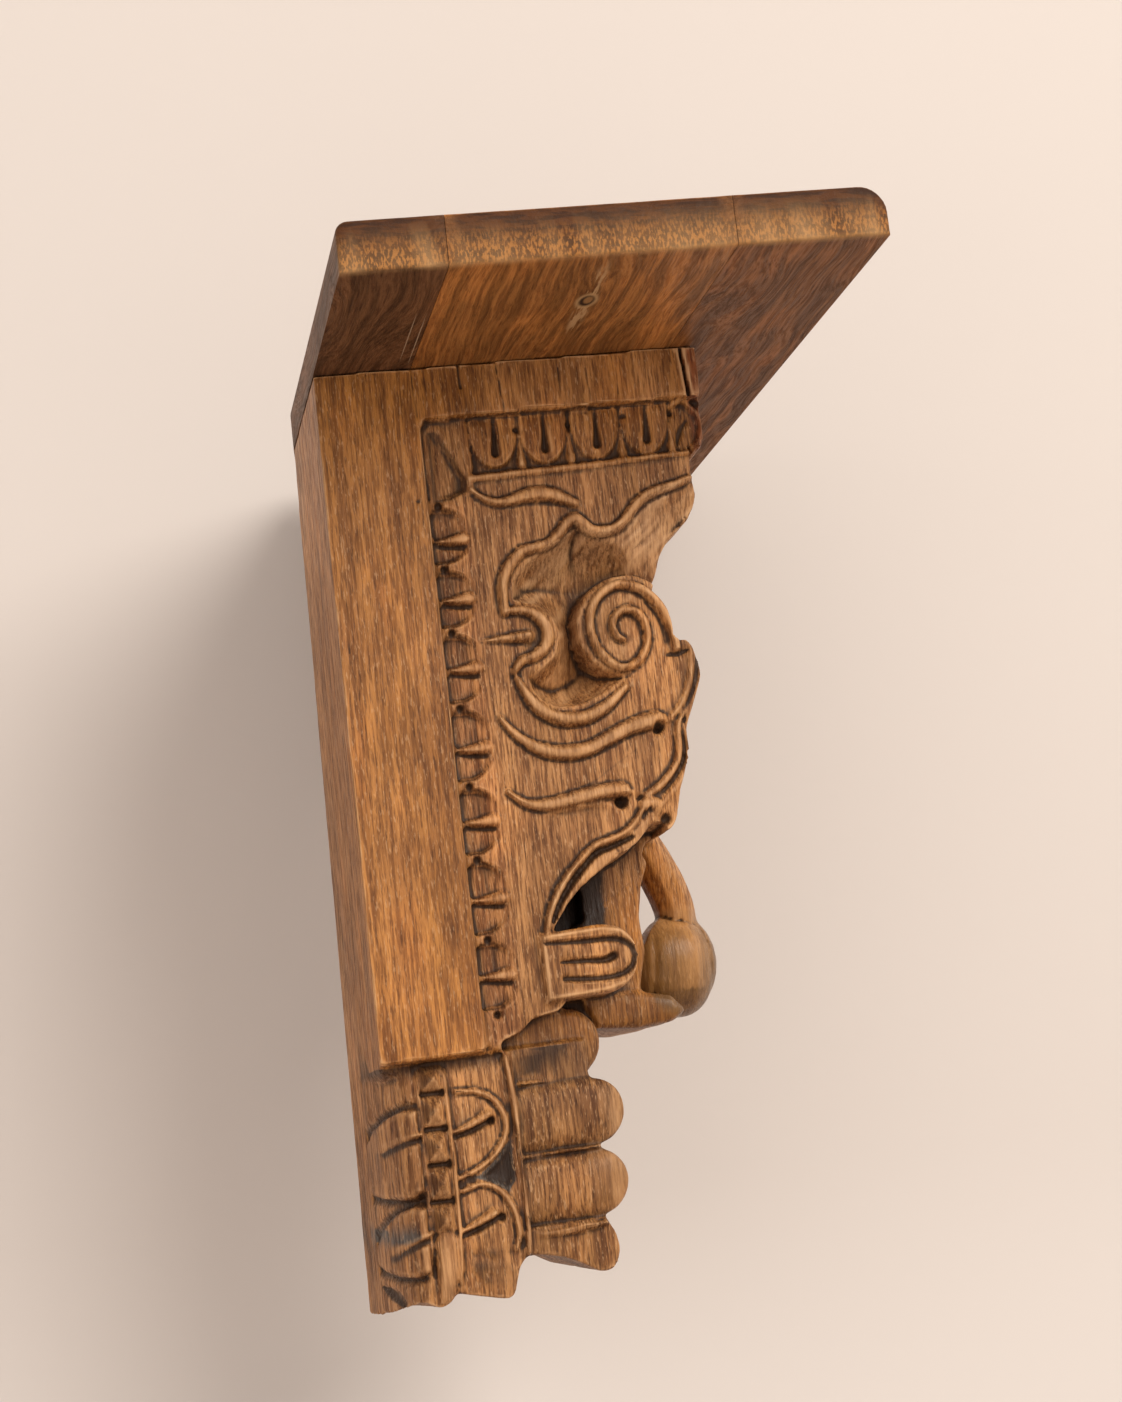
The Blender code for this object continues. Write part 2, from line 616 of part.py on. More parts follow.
def make_shelf():
    """Three strips side by side, with the grain along the board."""
    back_end = BACK_STRIP_WIDTH - GLUE_GAP / 2
    front_start = SHELF_DEPTH - FRONT_STRIP_WIDTH
    make_strip("shelf_board_back", 0.0, back_end, (0.10, 0.045, 0.02),
               relief=SHELF_FAR_RELIEF, back_radius=BACK_EDGE_RADIUS)
    make_strip("shelf_board_middle", back_end + GLUE_GAP, front_start - GLUE_GAP / 2, (0.22, 0.09, 0.03))
    make_strip("shelf_board_front", front_start + GLUE_GAP / 2, SHELF_DEPTH, (0.19, 0.09, 0.04),
               front_radius=FRONT_EDGE_RADIUS)


clear_scene()
make_corbel()
make_shelf()
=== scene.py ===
# Looks of a carved wall bracket: an old carved timber corbel under a shelf board glued up from strips.
# The carving is kept in millimetres as a viewer in front sees it: x runs out from the wall and
# z is measured down from the corbel's top. Everything else is in metres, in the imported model's frame.
import math

import bmesh
import bpy
import numpy as np
from bpy.props import FloatProperty, FloatVectorProperty, IntProperty, PointerProperty
from mathutils import Matrix, Vector


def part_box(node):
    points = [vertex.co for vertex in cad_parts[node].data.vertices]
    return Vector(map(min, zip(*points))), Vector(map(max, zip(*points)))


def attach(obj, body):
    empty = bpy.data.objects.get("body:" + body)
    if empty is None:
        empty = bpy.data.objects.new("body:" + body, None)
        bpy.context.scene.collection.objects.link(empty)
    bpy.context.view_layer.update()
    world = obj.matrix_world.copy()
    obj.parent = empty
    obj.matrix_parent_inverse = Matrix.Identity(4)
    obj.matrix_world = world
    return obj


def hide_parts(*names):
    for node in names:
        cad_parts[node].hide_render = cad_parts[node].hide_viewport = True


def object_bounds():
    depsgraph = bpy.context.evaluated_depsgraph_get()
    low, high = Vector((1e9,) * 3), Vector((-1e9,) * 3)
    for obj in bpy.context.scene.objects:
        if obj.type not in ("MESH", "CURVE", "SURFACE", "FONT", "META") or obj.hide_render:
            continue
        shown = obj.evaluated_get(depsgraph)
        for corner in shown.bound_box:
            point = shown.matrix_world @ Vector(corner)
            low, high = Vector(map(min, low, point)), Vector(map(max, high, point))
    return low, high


bl_info = {
    "name": "Carved wall bracket",
    "version": (1, 0, 0),
    "blender": (4, 5, 0),
    "location": "3D View > Sidebar > Bracket",
    "description": "Dresses a carved wall bracket: old carved corbel, shelf board and plain stage",
    "category": "Object",
}

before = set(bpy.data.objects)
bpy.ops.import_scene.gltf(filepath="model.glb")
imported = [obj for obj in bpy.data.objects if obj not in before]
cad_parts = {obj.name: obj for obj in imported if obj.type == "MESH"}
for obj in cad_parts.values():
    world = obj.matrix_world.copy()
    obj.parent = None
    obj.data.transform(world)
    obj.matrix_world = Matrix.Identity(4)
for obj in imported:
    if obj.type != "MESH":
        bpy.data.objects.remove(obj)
CAD_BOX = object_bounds()

# Places that the solids share: millimetres in the corbel's own measure
TO_METRES = 0.001
TOP_ABOVE_ORIGIN = 240.0
RISE_TO_FRONT = 0.035
HALF_THICKNESS = 65.0
THICKNESS_GAIN = 0.075
PLANK_WIDTH = 54.0
PLANK_LENGTH = 360.0
BAND_HEIGHT = 31.0
LEAF_END = -255.0
SOLID_BEHIND = 47.0
BUD_MIDDLE = (170.0, -327.0)
BUD_HALF = (25.0, 28.0, 27.0)
BUD_GROOVES = ((158.0, 0.12),)
FIELD_DEPTH = 6.0
FOOT_DEPTH = 9.0
HOLLOW_DEPTH = 34.0
VIEW_DISTANCE = 1189.0
VIEW_X = -139.0
VIEW_Z = -402.0

# Grid on which the carving is drawn, millimetres
CELL = 0.5
GRID_LEFT = -24.0
GRID_RIGHT = 216.0
GRID_LOW = -500.0
GRID_HIGH = 4.0
MOAT_WIDTH = 2.6


# Lines of the carving, each a list of points with x out from the wall and z below the top
FRONT_PROFILE = [
    (199, -56), (199, -72), (201, -81), (196, -93), (186, -101), (179, -111), (176, -121), (168, -133),
    (173, -140), (177, -150), (177, -160), (185, -159.5), (189.5, -168), (190, -181), (184, -196),
    (179, -208), (178, -222), (172, -238), (168, -254), (163, -260), (157, -261), (153, -271),
    (146, -279),
]
PANEL_FOOT = [
    (128, -286), (112, -296), (100, -304), (98, -341), (94, -344.5), (80, -346.5), (74, -352),
    (56, -357),
]

SCROLL_MIDDLE = (152.0, -150.0)
SCROLL_REACH = 27.5
RIM_HALVES = (2.3, 2.4, 2.3, 2.2, 2.1, 1.9, 1.8, 1.5)
SCROLL_RIM = [
    (177, -166), (175.5, -155), (171, -143), (164, -134), (156, -129.5), (148, -128.5), (140, -132),
    (134.5, -138.5), (131.8, -147), (133, -157), (137.5, -166), (144, -172), (151, -172.5),
    (157.5, -168.5), (161.8, -160), (162, -151), (158.5, -144.5), (152, -142), (146.5, -144.5),
    (144.3, -150), (145.8, -155.5), (149, -158),
]
SCOOP = [
    (92, -131), (94, -120), (101, -111), (112, -106), (121, -102.5), (127, -97), (132, -94.5),
    (136, -100), (144, -103), (153, -103.5), (162, -112), (164, -130), (160, -150), (152, -178),
    (143, -181), (134, -187), (122, -191), (110, -190.5), (102, -186), (97, -178), (96, -172),
    (104, -168), (112, -162), (115.5, -152), (112, -142), (103, -134),
]
LEAF_RIM = [
    (88, -137), (87.5, -128), (89, -119), (94, -111), (101, -105.5), (109, -104), (115, -102.5),
    (120, -99), (125, -93.5), (130, -90.5), (134, -93.5), (138, -97.5), (144, -99), (151, -98),
    (157, -94), (163, -87.5), (170, -82), (178, -79), (187, -77), (196, -74),
]
HOOK_RIM = [
    (91, -136.5), (98, -137), (104.5, -141), (108.3, -146.5), (109, -152.5), (106, -158.5),
    (100.5, -162), (94, -163.5), (89.5, -168.5),
]
LOWER_RIM = [
    (90, -172), (94, -181), (99, -188.5), (106, -194), (114, -196.8), (124, -196.8), (133, -193.5),
    (140, -189), (147, -183),
]
LOWER_LEDGE = [
    (100, -183), (105, -188), (113, -190.8), (123, -190.5), (133, -187), (141, -182.5), (147, -179.5),
]
HORN_TOP = [
    (77, -69.5), (80, -72.5), (84, -75.5), (89, -77.5), (95, -77.8), (102, -76.3), (110, -75.2),
    (118, -76), (125, -78.8), (131.5, -82),
]
HORN_MIDDLE = [
    (79, -192), (84, -199), (90, -205), (97, -210), (105, -213), (114, -214.3), (124, -213.3),
    (132, -210.3), (140, -207), (148, -204.3), (156, -202.8), (161, -202.5),
]
HORN_LOW = [
    (79, -230.5), (83, -234.5), (88, -238), (95, -239.8), (104, -239.6), (114, -238.3), (124, -237),
    (133, -236.3), (139, -237),
]
HORN_LOW_EDGE = [(96, -245.5), (105, -243.8), (118, -242.6), (129, -243), (137, -246.5)]
SPIKE = [(74, -151), (86, -151), (98, -151.2)]
FRONT_LEAF = [(184.5, -165), (184, -174), (181.5, -184), (177, -194), (170, -201.5)]
FRONT_RIM = [
    (176.5, -200), (172.5, -207), (172, -217), (170, -225), (165.5, -231.5), (159, -237), (151, -241.5),
]
FRONT_EDGE = [(176, -209), (177, -221), (172.5, -233), (163, -243), (153.5, -252)]
CRESCENT_RIM = [
    (147.5, -249), (143, -255), (137, -259.3), (129, -262), (121, -264), (112.5, -270.5),
    (104.5, -278.5), (97.5, -288), (92.8, -298), (90.5, -308.5),
]
CRESCENT_GROOVE = [
    (141, -262), (130, -265.5), (121, -268), (113.5, -274), (106, -282), (99.5, -291), (95, -300),
]
CRESCENT = [
    (153, -247), (146, -252), (136, -258), (124, -262), (113, -268.5), (103, -278), (96, -288),
    (91, -300), (92, -308), (96, -306), (101, -299), (109, -290.5), (119, -283), (129, -277),
    (139, -272.5), (148, -266), (155, -256),
]
TONGUE_GROOVE = [
    (89, -310.8), (98, -311.5), (110, -312), (121, -312.2), (129, -314), (134, -318.5), (134.5, -324),
    (131, -329), (124, -331.3), (112, -331.3), (97, -329.6),
]
TONGUE_SLOT = [(97, -321), (108, -321.8), (119, -322.6), (124, -321.2)]
TONGUE_OUTLINE = [
    (86, -305), (119, -304), (130, -306.5), (137, -314), (139, -322), (137, -331), (130, -337.5),
    (119, -340), (86, -341),
]
LEAF_FACE = [
    (92, -131), (94, -119), (101, -110), (112, -105), (122, -101), (130, -93), (138, -99), (150, -99.5),
    (158, -95), (170, -83), (200, -73), (201, -84), (190, -98), (178, -112), (176, -124), (160, -120),
    (140, -118), (126, -122), (112, -132), (100, -133),
]
PIT_RIGHT = 119.5
CRESCENT_INNER = [
    (93, -309), (97, -301), (104, -292), (112, -284.5), (121, -278), (131, -272), (141, -267),
    (152, -257),
]
NECK_DEPTH = 37.0
PIT_DEPTH = 50.0
ROLL_HOLLOW = [(66, -378), (74, -362), (90, -350), (101, -345), (105, -356), (95, -368), (84, -376)]
VEINS = [
    [(131.5, -96), (132, -103), (134, -109), (139, -114)],
    [(99, -115), (106, -113), (114, -114), (121, -118)],
    [(141, -108), (152, -109), (163, -104), (176, -94), (190, -84)],
    [(97, -128), (104, -126), (111, -129)],
    [(150, -114), (160, -113), (172, -105), (186, -93)],
]
FIELD_LINE = [(118, -233), (128, -229), (139, -222.5), (150, -216)]

KNOTS = [
    (59, -76), (58.5, -110), (59, -144), (59, -184), (59.5, -225), (59.5, -263), (60.5, -304),
    (61.5, -342),
]
BORDER_REACH = 75.5
POCKET = 4.4
RIB_HEIGHTS = [-95, -127, -164, -206, -244, -284, -323]
RIB_START = 55.5
RIB_END = 70.5

TONGUE_X = [92, 119, 147.5, 175]
TONGUE_HALF = 13.4
TONGUE_SPRING = -37.0
TONGUE_BOTTOM = -59.0
DOTS = [(104, -39), (133, -38), (163.5, -36.5), (190, -36.5)]
BORDER_CURL = [(190, -33), (197, -31), (204, -38), (206, -46), (203, -55), (198, -58)]
BORDER_FILLET = [(77, -63.5), (110, -62.8), (150, -61.5), (200, -59.8)]
CORNER_LEAF = [
    (56.5, -36), (61, -36), (66, -44), (71, -54), (75, -63), (75, -70), (66, -74), (56.5, -75),
]

BAND_CRACKS = [
    ([(77, 1), (77.5, -14)], 0.7, 2.2),
    ([(97, 1), (98.5, -14), (99.5, -29)], 0.5, 1.4),
    ([(131, -6), (131.5, -31)], 0.45, 1.2),
    ([(146, -8), (147.5, -29)], 0.4, 1.0),
    ([(199.5, 1), (201, -18), (202.5, -41)], 0.9, 6.0),
    ([(161.5, 1), (162.5, -24)], 0.3, 0.7),
    ([(51.5, 1), (52.5, -28)], 0.5, 0.9),
]
PLANK_CRACKS = [
    ([(6, -20), (7, -90), (5, -150)], 0.35, 0.8),
    ([(20, -210), (21.5, -300)], 0.3, 0.5),
    ([(52.2, -32), (52.6, -200), (53, -358)], 0.35, 1.0),
]

WALL_PETALS = [
    [(16, -383), (9, -382.5), (1, -385), (-7, -390.5), (-12.5, -399), (-14.5, -410), (-13.5, -421), (-4, -425),
     (6, -427), (16, -426.5)],
    [(16, -431), (10, -429.5), (2, -431.5), (-5, -437), (-10.5, -445), (-13.5, -453), (-8, -459), (0, -463),
     (8, -464.5), (16, -463)],
]
FRONT_ARCH_UPPER = [
    (36, -377.5), (45, -378.5), (53, -382.5), (58, -389.5), (59.5, -398), (56.5, -406), (50, -412.5),
    (42, -417), (34, -419.5),
]
FRONT_ARCH_LOWER = [
    (35, -426), (44, -424), (51.5, -427), (57, -434), (60, -442.5), (60.5, -451), (58, -458),
]
PETAL_RIBS = [
    ([(17, -395.5), (6, -397), (-6, -400.5)], 4.4),
    ([(17, -444), (8, -446.5), (-2, -450)], 4.4),
    ([(33, -397), (42, -394.5), (51, -390.5)], 0.0),
    ([(31, -445.5), (40, -442.5), (49, -438.5)], 0.0),
]
PETAL_PITS = [(52.5, -394), (53, -441.5)]
FOOT_HOLLOW = [
    (35, -421.5), (44, -419.5), (52, -414), (58, -407.5), (62, -404), (62.5, -424), (58, -430),
    (51, -425), (44, -421.5),
]
FOOT_RIDGE = [(62.5, -364), (64.5, -385), (66, -410), (66.5, -438), (64, -461)]
FOOT_EDGE_X = 61.0
ROUND_WIDTH = 15.0
ROUND_DEPTH = 100.0
PYRAMID_X = 24.0
PYRAMID_HALF = 7.0
PYRAMID_BREAKS = [-362, -377, -394.5, -412, -430, -446.5]
PYRAMID_RIM = [(30.6, -366), (31.2, -400), (31.2, -432), (30.4, -456), (28.5, -474)]
ROLL_LEVEL = -1.0
ROLLS = [(-378.5, -414, 122), (-414.5, -449.5, 121)]


class CorbelSettings(bpy.types.PropertyGroup):
    """Sizes and colours of the carved corbel."""

    coarse_voxel: FloatProperty(
        name="Roughing step", description="Mesh step before carving",
        default=0.0013, subtype="DISTANCE", unit="LENGTH",
    )
    fine_voxel: FloatProperty(
        name="Finishing step", description="Mesh step after carving",
        default=0.0009, subtype="DISTANCE", unit="LENGTH",
    )
    triangles: IntProperty(
        name="Triangles", description="Most triangles of the finished corbel",
        default=188000,
    )
    arris_wear: FloatProperty(
        name="Arris wear", description="How far the sharp edges are worn back",
        default=0.0007, subtype="DISTANCE", unit="LENGTH",
    )
    golden: FloatVectorProperty(
        name="Golden wood", description="Colour of the plain frame",
        default=(0.355, 0.146, 0.033), subtype="COLOR",
    )
    brown: FloatVectorProperty(
        name="Brown wood", description="Colour of the carved field",
        default=(0.40, 0.190, 0.068), subtype="COLOR",
    )
    # The dark colour is also used for painted shade in the hollows, the pit and under the plank.
    dark: FloatVectorProperty(
        name="Dark wood", description="Colour of the old dirt in the hollows",
        default=(0.022, 0.010, 0.005), subtype="COLOR",
    )
    # The pale colour is also used for the painted highlights on the foot's pyramids.
    pale: FloatVectorProperty(
        name="Pale wood", description="Colour of the rubbed edges",
        default=(0.56, 0.33, 0.165), subtype="COLOR",
    )


class ShelfSettings(bpy.types.PropertyGroup):
    """Sizes and colours of the shelf board."""

    end_wear: FloatProperty(
        name="End wear", description="Rounding of the board's end arrises",
        default=0.0022, subtype="DISTANCE", unit="LENGTH",
    )
    back: FloatVectorProperty(
        name="Back strip", description="Colour of the back strip",
        default=(0.150, 0.068, 0.030), subtype="COLOR",
    )
    middle: FloatVectorProperty(
        name="Middle strip", description="Colour of the middle strip",
        default=(0.345, 0.142, 0.040), subtype="COLOR",
    )
    front: FloatVectorProperty(
        name="Front strip", description="Colour of the front strip",
        default=(0.215, 0.082, 0.021), subtype="COLOR",
    )


class StageSettings(bpy.types.PropertyGroup):
    """The plain floor and the light."""

    floor: FloatVectorProperty(
        name="Floor", description="Colour of the floor and the backdrop",
        default=(0.58, 0.525, 0.488), subtype="COLOR",
    )
    key_power: FloatProperty(
        name="Key light", description="Power of the main light in watts",
        default=195.0,
    )
    fill_power: FloatProperty(
        name="Fill light", description="Power of the fill light in watts",
        default=9.0,
    )
    ambient: FloatProperty(
        name="Ambient", description="Strength of the light from all round",
        default=0.78,
    )


# Points, lines and noise


def smooth_line(points, step=1.2):
    """A smooth curve through the points, sampled about every step millimetres."""
    if len(points) < 3:
        return np.array(points, float)
    padded = np.array([points[0], *points, points[-1]], float)
    made = []
    for index in range(1, len(padded) - 2):
        before, start, end, after = padded[index - 1 : index + 3]
        count = max(2, int(np.hypot(*(end - start)) / step))
        t = (np.arange(count) / count)[:, None]
        made.append(
            0.5
            * (
                2 * start
                + (end - before) * t
                + (2 * before - 5 * start + 4 * end - after) * t**2
                + (3 * start - before - 3 * end + after) * t**3
            )
        )
    made.append(padded[-1:])
    return np.concatenate(made)


def measure(x, z, line):
    """For each point: distance to the line, share along it, and side, which is 1 to its left."""
    best = np.full(x.shape, 1e9)
    share = np.zeros(x.shape)
    side = np.ones(x.shape)
    lengths = np.hypot(*(line[1:] - line[:-1]).T)
    ends = np.concatenate([[0.0], np.cumsum(lengths)])
    total = max(ends[-1], 1e-6)
    for index in range(len(line) - 1):
        start = line[index]
        step = line[index + 1] - start
        length = max(lengths[index], 1e-6)
        dx = x - start[0]
        dz = z - start[1]
        t = np.clip((dx * step[0] + dz * step[1]) / length**2, 0, 1)
        away = np.hypot(dx - t * step[0], dz - t * step[1])
        nearer = away < best
        best = np.where(nearer, away, best)
        share = np.where(nearer, (ends[index] + t * length) / total, share)
        side = np.where(nearer, np.sign(step[0] * dz - step[1] * dx), side)
    return best, share, side


def inside(x, z, outline):
    """True for the points inside a closed outline."""
    within = np.zeros(x.shape, bool)
    for (ax, az), (bx, bz) in zip(outline, outline[1:] + outline[:1]):
        if az == bz:
            continue
        crosses = (az > z) != (bz > z)
        within ^= crosses & (x < (bx - ax) * (z - az) / (bz - az) + ax)
    return within


def soft_step(value, low, high):
    """0 below low, 1 above high and a smooth rise between them."""
    t = np.clip((value - low) / (high - low), 0, 1)
    return t * t * (3 - 2 * t)


def lattice_noise(points, seed):
    """Smooth noise from -1 to 1 at points of two or three dimensions, one lattice cell to the unit."""
    base = np.floor(points).astype(np.int64)
    part = points - base
    part = part * part * (3 - 2 * part)
    total = np.zeros(len(points))
    dimensions = points.shape[1]
    for corner in range(2**dimensions):
        weight = np.ones(len(points))
        key = np.full(len(points), seed * 7919, np.int64)
        for axis in range(dimensions):
            bit = (corner >> axis) & 1
            weight = weight * (part[:, axis] if bit else 1 - part[:, axis])
            key = (key * 73856093) ^ ((base[:, axis] + bit) * (19349663 + 83492791 * axis))
        key = (key ^ (key >> 13)) * 1274126177
        total += weight * (((key ^ (key >> 16)) & 0xFFFF) / 32767.5 - 1)
    return total


# The carving, drawn on a grid as millimetres of depth behind the frame's face


class Relief:
    """A grid of the near side that the carving is drawn on, with maps of its dirt and painted shade, and of
    its rubbed crests and painted highlights.
    """

    def __init__(self):
        self.columns = np.arange(GRID_LEFT, GRID_RIGHT + CELL, CELL)
        self.rows = np.arange(GRID_LOW, GRID_HIGH + CELL, CELL)
        self.x, self.z = np.meshgrid(self.columns, self.rows)
        self.height = np.zeros(self.x.shape)
        self.dirt_and_shade = np.zeros(self.x.shape)
        self.rub = np.zeros(self.x.shape)

    def darken(self, spot, amount):
        self.dirt_and_shade[spot] = np.maximum(self.dirt_and_shade[spot], amount)

    def window(self, line, reach):
        """The part of the grid that lies within reach of the line."""
        low = line.min(0) - reach
        high = line.max(0) + reach
        left, right = np.searchsorted(self.columns, (low[0], high[0]))
        bottom, top = np.searchsorted(self.rows, (low[1], high[1]))
        return slice(bottom, top), slice(left, right)

    def half_width(self, share, widths):
        stops = np.linspace(0, 1, len(widths))
        return np.interp(share, stops, widths)

    def ridge(self, points, widths, tall, lean=0.0, ground=0.0, moat=0.0):
        """Raises a rib along the line. A lean moves its crest to its left or right side, and a moat
        sinks the ground beside it."""
        line = smooth_line(points)
        spot = self.window(line, max(widths) + MOAT_WIDTH + 1)
        away, share, side = measure(self.x[spot], self.z[spot], line)
        half = self.half_width(share, widths)
        across = away * side / half
        slope = np.where(across > lean, (across - lean) / (1 - lean), (lean - across) / (1 + lean))
        body = np.sqrt(np.clip(1 - slope**3.0, 0, 1))
        rise = tall * np.minimum(1.0, 0.3 + 0.7 * half / max(widths)) * body
        on_rib = away < half
        if moat > 0:
            beside = np.clip(1 - (away - half) / MOAT_WIDTH, 0, 1) ** 1.5
            open_ground = ~on_rib & (self.height[spot] < ground + 1.0)
            self.height[spot] -= np.where(open_ground, moat * beside, 0)
            # Painted shade: the moat beside a rib is darkened, and more on the side below the rib, as a
            # painted shadow cast by it.
            line_z = np.interp(share, np.linspace(0, 1, len(line)), line[:, 1])
            below = soft_step(line_z - self.z[spot], -half, half)
            self.darken(spot, np.where(open_ground, (0.3 + 0.55 * below) * beside**1.5, 0))
        raised = on_rib & (ground + rise > self.height[spot])
        self.height[spot] = np.where(raised, ground + rise, self.height[spot])
        self.dirt_and_shade[spot] = np.where(raised, 0.0, self.dirt_and_shade[spot])
        self.rub[spot] = np.where(raised, np.clip(body - 0.35, 0, 1) * min(1.0, tall / 3), self.rub[spot])

    def groove(self, points, widths, deep):
        """Cuts a rounded groove along the line."""
        line = smooth_line(points)
        spot = self.window(line, max(widths) + 1)
        away, share, _side = measure(self.x[spot], self.z[spot], line)
        body = np.clip(1 - (away / self.half_width(share, widths)) ** 2, 0, 1)
        self.height[spot] -= deep * body
        # Dirt and painted shade: the groove is darkened by its depth.
        self.darken(spot, np.sqrt(body) * min(1.0, deep / 2.0))

    def pit(self, spot_at, radius, deep):
        """Drills a round hole with a soft edge."""
        line = np.array([spot_at, spot_at], float)
        spot = self.window(line, radius + 1)
        away = np.hypot(self.x[spot] - spot_at[0], self.z[spot] - spot_at[1])
        body = soft_step(radius - away, 0, radius * 0.6)
        self.height[spot] -= deep * body
        # Dirt and painted shade: the hole is darkened.
        self.darken(spot, body * (deep > 0))

    def plateau(self, outline, tall, edge, ground=0.0, moat=0.0):
        """Raises the inside of an outline, rounded down over its edge, with dirt and painted shade round its
        foot.
        """
        spot, signed = self.edge_distance(outline)
        self.height[spot] -= moat * np.clip(1 + signed / 4.0, 0, 1) * (signed <= 0)
        rise = ground + tall * np.sqrt(np.clip(1 - (1 - np.clip(signed / edge, 0, 1)) ** 2, 0, 1))
        self.height[spot] = np.where(signed > 0, np.maximum(self.height[spot], rise), self.height[spot])
        self.darken(spot, np.clip(1 - np.abs(signed + 0.5) / 1.6, 0, 1) * 0.8)

    def edge_distance(self, outline):
        """Distance to a closed outline, positive inside it."""
        line = np.array([*outline, outline[0]], float)
        spot = self.window(line, 6)
        away, _share, _side = measure(self.x[spot], self.z[spot], line)
        signed = np.where(inside(self.x[spot], self.z[spot], outline), away, -away)
        return spot, signed

    def sample(self, grid, x, z):
        """The value of one of the maps at any points of the near side."""
        column = np.clip((x - GRID_LEFT) / CELL, 0, len(self.columns) - 1.001)
        row = np.clip((z - GRID_LOW) / CELL, 0, len(self.rows) - 1.001)
        left = column.astype(int)
        low = row.astype(int)
        right_share = column - left
        top_share = row - low
        lower = grid[low, left] * (1 - right_share) + grid[low, left + 1] * right_share
        upper = grid[low + 1, left] * (1 - right_share) + grid[low + 1, left + 1] * right_share
        return lower * (1 - top_share) + upper * top_share

    def soften(self, times):
        """Rounds the drawing a little, as wear does."""
        for _round in range(times):
            grid = np.pad(self.height, 1, mode="edge")
            self.height = (
                grid[1:-1, 1:-1] * 4 + grid[:-2, 1:-1] + grid[2:, 1:-1] + grid[1:-1, :-2] + grid[1:-1, 2:]
            ) / 8


def draw_panel():
    """The whole carved panel: its field, borders, leaf, scroll and tongue."""
    relief = Relief()
    draw_side_border(relief)
    draw_top_border(relief)
    draw_leaf(relief)
    draw_scroll(relief)
    draw_horns(relief)
    draw_tongue(relief)
    relief.height += 0.22 * upright_strokes(relief, 1.3, 26, 3)
    relief.soften(1)
    return relief


def upright_strokes(relief, width, length, seed):
    """Fine raised and sunk strokes along the grain."""
    points = np.stack([relief.x.ravel() / width, relief.z.ravel() / length], 1)
    strokes = lattice_noise(points, seed) + 0.6 * lattice_noise(points * 2.3, seed + 1)
    return strokes.reshape(relief.x.shape)


def draw_side_border(relief):
    """Scalloped pockets down the plank, a pointed rib in each and a drilled knot between them."""
    for (top_x, top_z), (low_x, low_z) in zip(KNOTS, KNOTS[1:]):
        middle = (top_z + low_z) / 2
        half = (top_z - low_z) / 2
        count = 12
        outline = [(PLANK_WIDTH - 4, top_z - 2.0), (top_x, top_z - 2.0)]
        for index in range(1, count):
            angle = math.pi * (0.5 - index / count)
            out = top_x + (BORDER_REACH - top_x) * math.cos(angle) ** 1.1
            outline.append((out, middle + (half - 1.6) * math.sin(angle)))
        outline += [(low_x, low_z + 2.0), (PLANK_WIDTH - 4, low_z + 2.0)]
        spot, signed = relief.edge_distance(outline)
        shallow = soft_step(relief.x[spot], 62, 75)
        relief.height[spot] -= POCKET * soft_step(signed, -0.2, 1.8) * (1 - 0.86 * shallow)
        # Dirt and painted shade in the crease at each pocket's edge.
        relief.darken(spot, np.clip(1 - np.abs(signed - 0.6) / 1.3, 0, 1) * (0.8 - 0.75 * shallow))
        edge = np.clip(1 - np.abs(signed + 1.0) / 1.0, 0, 1) * (relief.x[spot] > top_x + 1)
        edge = edge * (1 - 0.5 * shallow)
        relief.height[spot] += 1.1 * edge
        relief.rub[spot] = np.maximum(relief.rub[spot], edge * 0.8)
    for rib in RIB_HEIGHTS:
        relief.groove([(57, rib - 2.8), (RIB_END - 0.5, rib - 4.6)], (0.8, 1.8), 2.0)
        spine = [(RIB_START, rib), (62, rib - 0.2), (RIB_END, rib + 0.2)]
        relief.ridge(spine, (0.4, 1.9, 3.5), 5.6, lean=-0.55, ground=-3.6)
    for knot in KNOTS:
        relief.pit((knot[0], knot[1] - 0.5), 2.9, 5.0)
    spot, signed = relief.edge_distance(CORNER_LEAF)
    slope = soft_step(relief.x[spot], 55, 76)
    relief.height[spot] -= soft_step(signed, -0.3, 3.0) * (1.5 + 3.5 * slope)
    # Dirt and painted shade round the sunk corner leaf.
    relief.darken(spot, np.clip(1 - np.abs(signed - 1.0) / 2.0, 0, 1) * 0.8)
    relief.ridge([(62, -34), (69, -46), (74, -58), (77, -66), (77, -70)], (0.8, 1.3, 1.6), 1.4)


